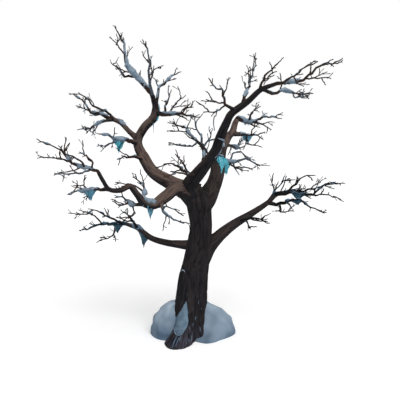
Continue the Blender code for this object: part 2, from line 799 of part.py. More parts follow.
def finish(piece, name, material, shop, smooth_to=None):
    """Name a piece, give it its material and move it to the tree's collection."""
    shop.bench.objects.unlink(piece)
    shop.tree.objects.link(piece)
    piece.name = name
    piece.data.name = name
    piece.data.materials.clear()
    piece.data.materials.append(material)
    if smooth_to is not None:
        piece.data.shade_smooth()
        piece.data.set_sharp_from_angle(angle=math.radians(smooth_to))


# ---------------------------------------------------------------- trunk and mound


def trunk_radius(heading, height, radius):
    """The trunk's radius on a heading, with its flutes and the flare of its roots."""
    flute = math.cos(FLUTES * math.radians(heading) + FLUTE_TWIST * height)
    total = radius * (1 + FLUTE_DEPTH * flute)
    for root, reach, sharpness in ROOTS:
        ridge = max(0.0, math.cos(math.radians(heading - root))) ** sharpness
        total += reach * ridge * math.exp(-height / ROOT_FALL)
    return total


def loft(name, rings, cap, shop):
    """A closed mesh through level rings of equal count, with a pole on top where cap is given."""
    mesh = bpy.data.meshes.new(name)
    sides = len(rings[0])
    verts = [v for ring in rings for v in ring] + [cap]
    faces = [tuple(reversed(range(sides)))]
    for level in range(len(rings) - 1):
        for i in range(sides):
            j = (i + 1) % sides
            low, high = level * sides, (level + 1) * sides
            faces.append((low + i, low + j, high + j, high + i))
    top = (len(rings) - 1) * sides
    faces += [(top + i, top + (i + 1) % sides, len(verts) - 1) for i in range(sides)]
    mesh.from_pydata(verts, [], faces)
    weld(mesh)
    return make_object(name, mesh, shop.bench)


def make_trunk(name, line, margin, depth, shop):
    """The trunk's loft from its foot to the fork, grown outwards by a margin and down by a depth."""
    rings = []
    for height in TRUNK_LEVELS:
        centre, radius = level_of(line, height)
        ring = []
        for i in range(TRUNK_SIDES):
            heading = 360 * i / TRUNK_SIDES
            out = trunk_radius(heading, height, radius) + margin
            ring.append(centre + direction(heading, 0) * out)
        rings.append(ring)
    if depth:
        rings.insert(0, [point - Vector((0, 0, depth)) for point in rings[0]])
    top, _ = level_of(line, FORK_TOP)
    return loft(name, rings, Vector((top.x, top.y, FORK_TOP + margin)), shop)


def level_of(line, height):
    """The middle and radius of the trunk at a height."""
    heights = [p.z for p in line.points]
    columns = ([p.x for p in line.points], [p.y for p in line.points], line.radii)
    x, y, radius = (float(np.interp(height, heights, column)) for column in columns)
    return Vector((x, y, height)), radius


def mound_point(heading, rise):
    """A point of the mound's surface on a heading, at a rise in radians from its rim to its top."""
    headings, reaches, shares = zip(*MOUND_RIM)
    reach = float(np.interp(heading, headings, reaches, period=360))
    share = float(np.interp(heading, headings, shares, period=360))
    to_right = math.cos(math.radians(heading))
    out = reach * math.cos(rise) ** (MOUND_SLOPE + MOUND_SLOPE_SWAY * to_right)
    up = MOUND_HEIGHT * share * math.sin(rise) ** (MOUND_SHOULDER + MOUND_SHOULDER_SWAY * to_right)
    return direction(heading, 0) * out + Vector((0, 0, up))


def make_mound(line, shop):
    """The drift of snow heaped round the foot, cut clear of the trunk."""
    rings = []
    for level in range(MOUND_RINGS):
        rise = math.radians(90 * level / MOUND_RINGS)
        rings.append([mound_point(360 * i / MOUND_SIDES, rise) for i in range(MOUND_SIDES)])
    mound = loft("mound", rings, Vector((0, 0, MOUND_HEIGHT * 0.5)), shop)
    apply_boolean(mound, [make_trunk("mound_cutter", line, GAP, CUTTER_DEPTH, shop)], "DIFFERENCE")
    return mound


# ---------------------------------------------------------------- snow and ice


def snow_line(line, cover):
    """The line of a bank of snow that lies on top of a limb."""
    points, radii = [], []
    for step in range(SNOW_STEPS + 1):
        s = step / SNOW_STEPS
        point, way, radius = line.share(cover.start + (cover.end - cover.start) * s)
        bulge = cover.size * (0.35 + 0.65 * math.sin(math.pi * s) ** 0.6)
        up = (Vector((0, 0, 1)) - way * way.z * 0.8).normalized()
        points.append(point + up * (SNOW_RISE * radius - SNOW_SINK * bulge))
        radii.append(bulge)
    return Line(points, radii)


def icicle_lines(line, cover):
    """The lines of a row of icicles that hang from a limb."""
    icicles = []
    for i in range(cover.count):
        s = (i + 0.5) / cover.count
        point, _, radius = line.share(cover.start + (cover.end - cover.start) * s)
        length = cover.size * (1 - 0.45 * abs(2 * s - 1)) + radius
        half = ICICLE_THICKNESS / 2 * (0.7 + 0.3 * length / 0.4)
        down = Vector((0, 0, -1))
        icicles.append(Line([point, point + down * length], [half, ICICLE_POINT]))
    return icicles


def parent_of(name):
    """The limb that a bough or a mass grows from."""
    return (BOUGHS.get(name) or MASSES.get(name)).parent


def children_of(parent, growths):
    """The names of the boughs and masses that leave a limb's side."""
    return [name for name, growth in growths.items() if growth.collar and parent_of(name) == parent]


def clear_cutters(name, covers_limb, lines, growths, shop):
    """Tubes of a limb, of its parent and of what leaves its side, wider by the clearance."""
    cut = [growths[covers_limb].limb]
    parent = BOUGHS[covers_limb].parent
    if parent in growths:
        cut.append(growths[parent].limb)
    wider = [Line(line.points, [r + SNOW_GAP for r in line.radii]) for line in cut]
    for child in children_of(covers_limb, growths):
        line = lines[child]
        wider.append(Line(line.points, [r / FLAT_SHARE + SNOW_GAP for r in line.radii]))
    return sweep(name + "_cutter", wider, BOUGH_SIDES, shop)


# ---------------------------------------------------------------- the tree


def make_material(name, colour, roughness):
    """A plain surface with a colour and a roughness."""
    material = bpy.data.materials.new(name)
    material.use_nodes = True
    shader = material.node_tree.nodes["Principled BSDF"]
    shader.inputs["Base Color"].default_value = (*colour, 1)
    shader.inputs["Roughness"].default_value = roughness
    shader.inputs["Metallic"].default_value = 0.0
    return material


def plan_tree():
    """Every line of the tree, each limb's growth, and each mass's leaders and twigs."""
    lines = {"trunk": trunk_line()}
    growths = grow_boughs(lines)
    growths.update(grow_stems(lines))
    room = Room()
    room.take("trunk", lines["trunk"])
    for name, growth in growths.items():
        room.take(name, growth.limb)
        if growth.collar:
            room.take(parent_of(name), growth.collar)
    for name, mass in MASSES.items():
        for share, legs in mass.leaders:
            room.take(name, leader_line(lines[name], share, legs))
    for name, cover in BOUGH_SNOW.items():
        room.take(name, snow_line(growths[cover.limb].limb, cover))
    for name, cover in BOUGH_ICE.items():
        for icicle in icicle_lines(growths[cover.limb].limb, cover):
            room.take(name, icicle)
    for cover in STEM_SNOW:
        room.take(cover.limb, snow_line(growths[cover.limb].limb, cover))
    for cover in STEM_ICE:
        for icicle in icicle_lines(growths[cover.limb].limb, cover):
            room.take(cover.limb, icicle)
    masses = {}
    for name in MASSES:
        leaders, twigs = grow_mass(name, growths[name].limb, lines[name], room)
        masses[name] = (leaders, twigs)
        for line in twigs:
            room.take(name, line)
    return lines, growths, masses


def collars_on(parent, growths, shop):
    """The stubs that a limb carries for the limbs and stems that leave its side."""
    stubs = [growths[child].collar for child in children_of(parent, growths)]
    return sweep(parent + "_collar", stubs, BOUGH_SIDES, shop)


def make_mass(name, growth, leaders, twigs, shop):
    """One mass: its stem with leaders, twigs, snow and ice fused on."""
    stem = sweep(name, [growth.limb], STEM_SIDES, shop)[0]
    added = sweep(name + "_leader", leaders, STEM_SIDES, shop)
    added += sweep(name + "_twig", twigs, TWIG_SIDES, shop)
    snow = [snow_line(growth.limb, cover) for cover in STEM_SNOW if cover.limb == name]
    added += sweep(name + "_snow", snow, SNOW_SIDES, shop)
    for cover in STEM_ICE:
        if cover.limb == name:
            added += sweep(name + "_ice", icicle_lines(growth.limb, cover), ICICLE_SIDES, shop)
    apply_boolean(stem, added, "UNION")
    return stem


def main():
    """Clear the scene and make the tree."""
    for thing in list(bpy.data.objects):
        bpy.data.objects.remove(thing)
    tree = bpy.data.collections.new("bare_winter_tree")
    bench = bpy.data.collections.new("bench")
    for collection in (tree, bench):
        bpy.context.scene.collection.children.link(collection)
    shop = Shop(bench, tree, triangle_profile(bench))
    bark = make_material("bark", BARK, 0.9)
    twig_bark = make_material("twig_bark", TWIG_BARK, 0.85)
    snow = make_material("snow", SNOW, 0.7)
    ice = make_material("ice", ICE, 0.15)

    lines, growths, masses = plan_tree()
    trunk = make_trunk("trunk_body", lines["trunk"], 0.0, 0.0, shop)
    apply_boolean(trunk, collars_on("trunk", growths, shop), "UNION")
    finish(trunk, "trunk", bark, shop, 50)
    for name in BOUGHS:
        limb = sweep(name, [growths[name].limb], BOUGH_SIDES, shop)[0]
        apply_boolean(limb, collars_on(name, growths, shop), "UNION")
        finish(limb, name, bark, shop, 50)
    for name, (leaders, twigs) in masses.items():
        mass = make_mass(name, growths[name], leaders, twigs, shop)
        finish(mass, name, twig_bark, shop)
    for name, cover in BOUGH_SNOW.items():
        bank = sweep(name, [snow_line(growths[cover.limb].limb, cover)], SNOW_SIDES, shop)[0]
        apply_boolean(bank, clear_cutters(name, cover.limb, lines, growths, shop), "DIFFERENCE")
        finish(bank, name, snow, shop, 60)
    for name, cover in BOUGH_ICE.items():
        icicles = sweep(name, icicle_lines(growths[cover.limb].limb, cover), ICICLE_SIDES, shop)
        apply_boolean(icicles[0], icicles[1:], "UNION")
        apply_boolean(icicles[0], clear_cutters(name, cover.limb, lines, growths, shop), "DIFFERENCE")
        finish(icicles[0], name, ice, shop)
    finish(make_mound(lines["trunk"], shop), "snow_mound", snow, shop, 60)
    bpy.data.objects.remove(shop.profile)
    bpy.data.collections.remove(bench)


main()
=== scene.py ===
"""A bare winter tree: bark with its relief, twigs, packed snow and ice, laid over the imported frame.

Metres, +Z up, the origin in the middle of the flat cut under the trunk, +X to the right and +Y to
the back. A heading is in degrees from +X round to +Y, and a climb in degrees above level. Every
limb and stem is a walk of short legs, each (heading, climb, length), as in the solid model.
"""

import functools
import json
import math
import random
from typing import NamedTuple

import bpy
import numpy as np
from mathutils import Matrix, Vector, noise

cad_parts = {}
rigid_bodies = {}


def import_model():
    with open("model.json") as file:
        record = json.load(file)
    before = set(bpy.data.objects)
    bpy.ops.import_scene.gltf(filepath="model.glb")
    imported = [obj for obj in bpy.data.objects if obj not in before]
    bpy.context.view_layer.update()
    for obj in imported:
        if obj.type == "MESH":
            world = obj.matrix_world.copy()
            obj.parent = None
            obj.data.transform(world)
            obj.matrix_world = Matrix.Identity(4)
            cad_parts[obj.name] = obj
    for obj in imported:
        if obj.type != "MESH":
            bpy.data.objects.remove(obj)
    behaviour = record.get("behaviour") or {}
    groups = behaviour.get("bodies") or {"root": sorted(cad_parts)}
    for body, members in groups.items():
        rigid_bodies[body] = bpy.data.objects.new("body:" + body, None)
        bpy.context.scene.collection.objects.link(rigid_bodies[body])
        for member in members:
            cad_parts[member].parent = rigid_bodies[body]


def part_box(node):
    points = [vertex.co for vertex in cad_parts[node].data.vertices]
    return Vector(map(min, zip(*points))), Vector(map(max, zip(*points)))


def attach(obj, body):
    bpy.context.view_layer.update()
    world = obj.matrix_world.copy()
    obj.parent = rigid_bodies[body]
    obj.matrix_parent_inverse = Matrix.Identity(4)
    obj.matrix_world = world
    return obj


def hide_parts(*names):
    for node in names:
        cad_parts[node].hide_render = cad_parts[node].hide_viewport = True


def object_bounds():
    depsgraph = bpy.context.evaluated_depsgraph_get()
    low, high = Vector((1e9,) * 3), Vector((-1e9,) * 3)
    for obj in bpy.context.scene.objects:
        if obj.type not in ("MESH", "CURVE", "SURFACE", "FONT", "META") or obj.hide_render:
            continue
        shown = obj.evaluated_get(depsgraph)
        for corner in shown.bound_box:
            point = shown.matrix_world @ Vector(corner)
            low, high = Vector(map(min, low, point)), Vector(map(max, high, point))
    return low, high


bl_info = {
    "name": "Bare Winter Tree",
    "version": (1, 0, 0),
    "blender": (4, 5, 0),
    "location": "3D View > Sidebar > Winter Tree",
    "description": "Bark, twigs, snow and ice for a bare winter tree",
    "category": "Object",
}

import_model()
CAD_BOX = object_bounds()
BODY = "root"

# ---------------------------------------------------------------- sizes shared with the solids

# The gap between pieces, the least square of a run, the shortest run, and how near points merge.
GAP, LEAST_SQUARE, SHORTEST_RUN, WELD = 0.0003, 0.00001, 0.000001, 0.00002
UP = Vector((0, 0, 1))
# Trunk: thickness at the ground, its walk up to the fork, and its thickness at each leg's end.
TRUNK_FOOT = 0.68
TRUNK_LEGS = ((0, 88, 0.70), (0, 85, 0.55), (0, 79, 0.55), (0, 83, 0.50), (180, 84, 0.40), (180, 82, 0.27))
TRUNK_THICKNESS = (0.63, 0.58, 0.50, 0.44, 0.50, 0.52)
FORK_TOP = 2.97
SHOULDER_DROP = 0.12
FLUTES, FLUTE_DEPTH, FLUTE_TWIST = 7, 0.035, 1.1
# Roots of the flare: heading, how far the toe stands out of the trunk, sharpness of its ridge.
ROOTS = (
    (234, 0.44, 30),
    (250, 0.42, 40),
    (266, 0.46, 30),
    (300, 0.14, 14),
    (345, 0.16, 10),
    (45, 0.26, 10),
    (110, 0.22, 10),
    (165, 0.18, 10),
    (205, 0.16, 12),
)
ROOT_FALL = 0.24
LEG_STEPS = 2
LEAD_IN, LEAD_IN_SHARE = 1.0, 0.4
COLLAR_MARGIN = 0.03

# Twigs: spacing along a stem, length, and how they fork, kink, lift and thin.
TWIG_SPACING = 0.3
TWIG_LENGTH = 0.38
TWIG_START, TWIG_END = 0.16, 0.97
TWIG_FORK, SUB_TWIG_FORK = (28, 60), (35, 65)
TWIG_KINK = 24
TWIG_LIFT = 0.18
TURN, TURN_SWAY = 137.5, 30
TWIG_SPREAD, TWIG_LOSS = (0.65, 1.25), 0.45
LEADER_TWIG_START = 0.25
SUB_TWIG_SHARE = 0.28
TIP_THICKNESS = 0.017
LEADER_SHARE = 0.72
TWIG_SHARE = 0.55
TWIG_CLEARANCE = 0.006
TEST_STEP = 0.02

# Snow mound round the foot: its height, how hollow its slope is and how full its shoulder, which
# both change from left to right, and its rim as (heading, reach, share of the height), low in
# front where the roots stand out.
MOUND_HEIGHT = 0.76
MOUND_SLOPE, MOUND_SLOPE_SWAY = 1.45, 0.4
MOUND_SHOULDER, MOUND_SHOULDER_SWAY = 0.9, -0.1
MOUND_RIM = (
    (0, 0.95, 1.0),
    (20, 0.93, 1.0),
    (90, 0.8, 1.0),
    (172, 0.84, 1.0),
    (200, 0.78, 1.0),
    (212, 0.74, 0.74),
    (221, 0.69, 0.5),
    (230, 0.55, 0.2),
    (240, 0.4, 0.1),
    (275, 0.4, 0.1),
    (286, 0.56, 0.1),
    (298, 0.71, 0.12),
    (310, 0.75, 0.22),
    (325, 0.75, 0.48),
    (340, 0.83, 0.9),
    (350, 0.9, 1.0),
)

# ---------------------------------------------------------------- sizes of the dressing

# How far the dressed twigs go beyond the solid ones: smaller shoots along each, and their sizes.
SHOOT_SPACING, LOW_SHOOT_SPACING = 0.27, 0.18
SHOOT_LENGTH = 0.18
SHOOT_THICKNESS = 0.021
FINE_TIP = 0.0165
TWIG_THIN, LOW_TWIG_THIN = 1.15, 1.45
SHOOT_FORK, SHOOT_SWAY = (25, 60), 40
SHOOT_SPREAD, SHOOT_LOSS = (0.45, 1.3), 0.4
SPUR_SHARE, SPUR_FORK = 0.4, (30, 60)
REACH_MARGIN = 0.02
# How far a line is put off at its two knees, where they stand on a run, and how far it swells.
WOBBLE, WOBBLE_RUN = 0.075, 0.3
KNEES, GNARL = ((0.25, 0.42), (0.58, 0.75)), (0.88, 1.12)
# The bare share at the foot of a stem, a leader and a twig, and how far a stem runs into wood.
STEM_BARE, LEADER_BARE, TWIG_BARE, STEM_SINK = 0.35, 0.2, 0.15, 0.02
# What is added to a mass's seed for its wood's looks and for its shoots.
WOOD_SEED, SHOOT_SEED = 5000, 9000
# How often a spray is frosted where its mass isn't listed.
USUAL_FROST = 0.14

# Bark: how many steps smooth a leg, how far pieces run under each other, furrow and crack
# spacing across and along the grain, the depths of each, and the radius with the full relief.
FINE_STEPS = 6
OVERLAP, STUB_LENGTH, STUB_SEED, BOUGH_INSET = 0.05, 0.06, 2.3, 0.96
FURROW_ACROSS, FURROW_ALONG, FURROW_DEPTH = 0.055, 0.55, 0.012
CRACK_ACROSS, CRACK_ALONG, CRACK_DEPTH = 0.024, 0.17, 0.004
SWELL_ACROSS, SWELL_ALONG, SWELL_DEPTH = 0.2, 0.8, 0.012
FURROW_SLOPE, FURROW_REST = 0.2, 0.7
FULL_RELIEF_RADIUS, THIN_RELIEF, JOINT_RELIEF, JOINT_WIDTH = 0.24, 0.3, 0.35, 0.35
SWELLING, SWELLING_PITCH, FLARE_LENGTH = 0.07, 3.1, 0.9
TRUNK_SEGMENTS, TRUNK_RINGS, TRUNK_CAP, TRUNK_LEVEL_POWER = 144, 90, 0.06, 1.6
BASE_FLARE = 0.3
# Curve steps between the sides and the middle of a tube of bark and of snow or ice.
BARK_ROUND, SNOW_ROUND = 6, 3

# Snow and ice: steps along a bank and an icicle. The pocket of snow on the front root has its
# height, its middle across the trunk and its half width at each level, and then how far it is
# sunk in the bark, how far it swells, how deep it goes and how deep the hollow round it is.
BANK_STEPS, ICE_STEPS, FRONT_TRIES, SKIN_STEPS, STRIP_STEPS = 14, 6, 8, 4, 4
DRIP_SPACING, ICE_STAND = 0.07, 0.012
# A bank's lanes as (place across, size), how far the side lanes stop short, and its lumps.
LANES = ((0.0, 0.86), (-0.42, 0.62), (0.42, 0.62))
LANE_INSET, LUMP_SIZE, LUMP_PITCH = 0.12, 0.42, 11
# Bumps on snow as (width, seed, height), on limbs, on the drift and in the hollow.
LIMB_BUMPS = ((0.07, 7.0, 0.012), (0.025, 3.0, 0.004))
DRIFT_BUMPS = (0.1, 9.0, 0.01)
HOLLOW_BUMPS = (0.05, 4.0, 0.006)
# Icicles: how many stand for one solid one, the thinnest end, and the ripple along each.
SHARDS, ICE_END, RIPPLE, RIPPLE_PITCH = 4, 0.002, 0.12, 15
POCKET = (
    (0.19, -0.22, 0.02),
    (0.23, -0.21, 0.1),
    (0.28, -0.19, 0.135),
    (0.39, -0.155, 0.13),
    (0.53, -0.124, 0.09),
    (0.68, -0.09, 0.05),
    (0.84, -0.06, 0.006),
)
POCKET_SINK, POCKET_RISE, POCKET_DEPTH = 0.016, 0.01, 0.09
HOLLOW_DEPTH, HOLLOW_MARGIN, HOLLOW_FULL_WIDTH = 0.055, 1.15, 0.08
# Frost lines on the front of the trunk: thickness, then (across, height) points.
FROST_LINES = (
    (0.017, ((-0.34, 0.28), (-0.3, 0.205), (-0.23, 0.178), (-0.15, 0.205), (-0.075, 0.3))),
    (0.014, ((-0.25, 0.17), (-0.3, 0.09), (-0.34, 0.02))),
    (0.01, ((-0.2, 0.17), (-0.24, 0.1), (-0.27, 0.04))),
    (0.011, ((-0.19, 1.34), (-0.16, 1.375), (-0.12, 1.385), (-0.085, 1.35))),
)

# Drift: how wide its heaps are, how far they stand out, and the height below which they fade.
DRIFT_HEAPS, DRIFT_HEAP_RISE, DRIFT_FADE = 0.34, 0.085, 0.12

# Bark's painted light and shade: the side that is painted lit, each limb's share of painted light (low shares
# are painted shade, nearly black), and the lengths on boughs and trunk over which that share changes.
PAINTED_LIGHT_SIDE = (0.1, -0.2, 0.97)
LIMB_PAINTED_LIGHT = {
    "trunk": 0.06,
    "bough_left_lower": 0.9,
    "bough_left_middle": 0.6,
    "bough_left_upper": 0.05,
    "bough_back_left": 0.8,
    "bough_front_left_inner": 1.0,
    "bough_front_left_middle": 0.55,
    "bough_front_left_outer": 0.12,
    "bough_low_left": 0.22,
    "bough_low_right": 0.12,
    "bough_front_right_lower": 0.25,
    "bough_front_right_upper": 0.12,
    "bough_back_right_lower": 0.2,
    "bough_back_right_upper": 0.85,
}
PAINTED_LIGHT_LENGTH, TRUNK_PAINTED_LIGHT_LENGTH = 0.33, 2.9

# Stage: how wide the floor is, where the key light and the camera stand, and the camera's field.
STAGE_SIZE = 160
KEY_PLACE, TREE_MIDDLE, KEY_SOFTNESS = (3.0, -6.0, 12.0), (0.0, 0.0, 3.0), 45
SEEN_WHITE, FLOOR_GLOW = 1.0, 0.16
CAMERA_PLACE, CAMERA_DOWN, CAMERA_FIELD = (0.2085, -13.926, 5.0127), 9, 32

# Webs of wood that fill the armpit between two limbs: limb, share, limb, share, thick, thin.
WEBS = (
    ("trunk", 0.38, "bough_low_right", 0.24, 0.30, 0.24),
    ("trunk", 0.59, "bough_low_left", 0.24, 0.14, 0.12),
    ("trunk", 0.88, "bough_left_lower", 0.28, 0.32, 0.24),
    ("trunk", 0.85, "bough_back_right_lower", 0.32, 0.36, 0.28),
    ("trunk", 0.90, "bough_front_left_inner", 0.30, 0.28, 0.22),
)


class Bough(NamedTuple):
    """A tapering limb that leaves its parent at a share of the parent's length."""

    parent: str
    at: float
    thick: float
    thin: float
    legs: tuple
    collar: float = 0.0
    taper: float = 1.0


class Mass(NamedTuple):
    """A mass of twigs on one stem, with the leaders that fork from it as (share, legs)."""

    parent: str
    at: float
    thick: float
    seed: int
    legs: tuple
    leaders: tuple = ()


class Cover(NamedTuple):
    """Snow or ice on a limb or stem, from one share of its length to another."""

    limb: str
    start: float
    end: float
    size: float
    count: int = 0


BOUGHS = {
    "bough_left_lower": Bough(
        "trunk", 0.99, 0.34, 0.215,
        ((175, 20, 0.35), (165, 25, 0.3), (165, 30, 0.4), (155, 55, 0.4)), 0.55,
    ),
    "bough_left_middle": Bough(
        "bough_left_lower", 1, 0.21, 0.175, ((140, 65, 0.3), (35, 60, 0.3), (15, 45, 0.25))
    ),
    "bough_left_upper": Bough("bough_left_middle", 1, 0.18, 0.113, ((35, 70, 0.25), (135, 70, 0.2))),
    "bough_back_left": Bough(
        "bough_left_middle", 0.41, 0.12, 0.091, ((125, 20, 0.4), (125, 25, 0.4), (125, 10, 0.4))
    ),
    "bough_front_left_inner": Bough(
        "trunk", 0.98, 0.28, 0.213, ((210, 20, 0.5), (225, -20, 0.3), (225, -25, 0.3)), 0.7
    ),
    "bough_front_left_middle": Bough(
        "bough_front_left_inner", 1, 0.19, 0.112, ((225, 8, 0.3), (228, 45, 0.24), (222, 50, 0.23))
    ),
    "bough_front_left_outer": Bough(
        "bough_front_left_middle", 1, 0.11, 0.068,
        ((215, -10, 0.25), (225, 10, 0.25), (240, 45, 0.25), (235, 55, 0.2)),
    ),
    "bough_low_left": Bough(
        "trunk", 0.63, 0.18, 0.085,
        ((160, 0, 0.45), (150, 0, 0.3), (155, 10, 0.35), (155, 30, 0.35), (155, 15, 0.3)),
    ),
    "bough_low_right": Bough(
        "trunk", 0.5, 0.44, 0.09,
        ((10, 52, 0.5), (25, 36, 0.55), (35, 22, 0.6), (25, 27, 0.4), (30, 34, 0.3)), 0.85, 0.5,
    ),
    "bough_front_right_lower": Bough(
        "trunk", 0.97, 0.3, 0.147,
        ((225, 50, 0.35), (310, 45, 0.35), (315, 45, 0.6), (300, 55, 0.4), (305, 55, 0.45)), 0.48,
    ),
    "bough_front_right_upper": Bough(
        "bough_front_right_lower", 1, 0.15, 0.071,
        ((335, 50, 0.15), (340, 35, 0.35), (330, 40, 0.3), (330, 20, 0.3)),
    ),
    "bough_back_right_lower": Bough(
        "trunk", 0.9, 0.36, 0.25, ((35, 50, 0.45), (50, 55, 0.3), (75, 55, 0.3), (75, 55, 0.25)), 0.48
    ),
    "bough_back_right_upper": Bough(
        "bough_back_right_lower", 1, 0.25, 0.112,
        ((60, 45, 0.4), (50, 35, 0.25), (60, 55, 0.2), (45, 55, 0.1)),
    ),
}

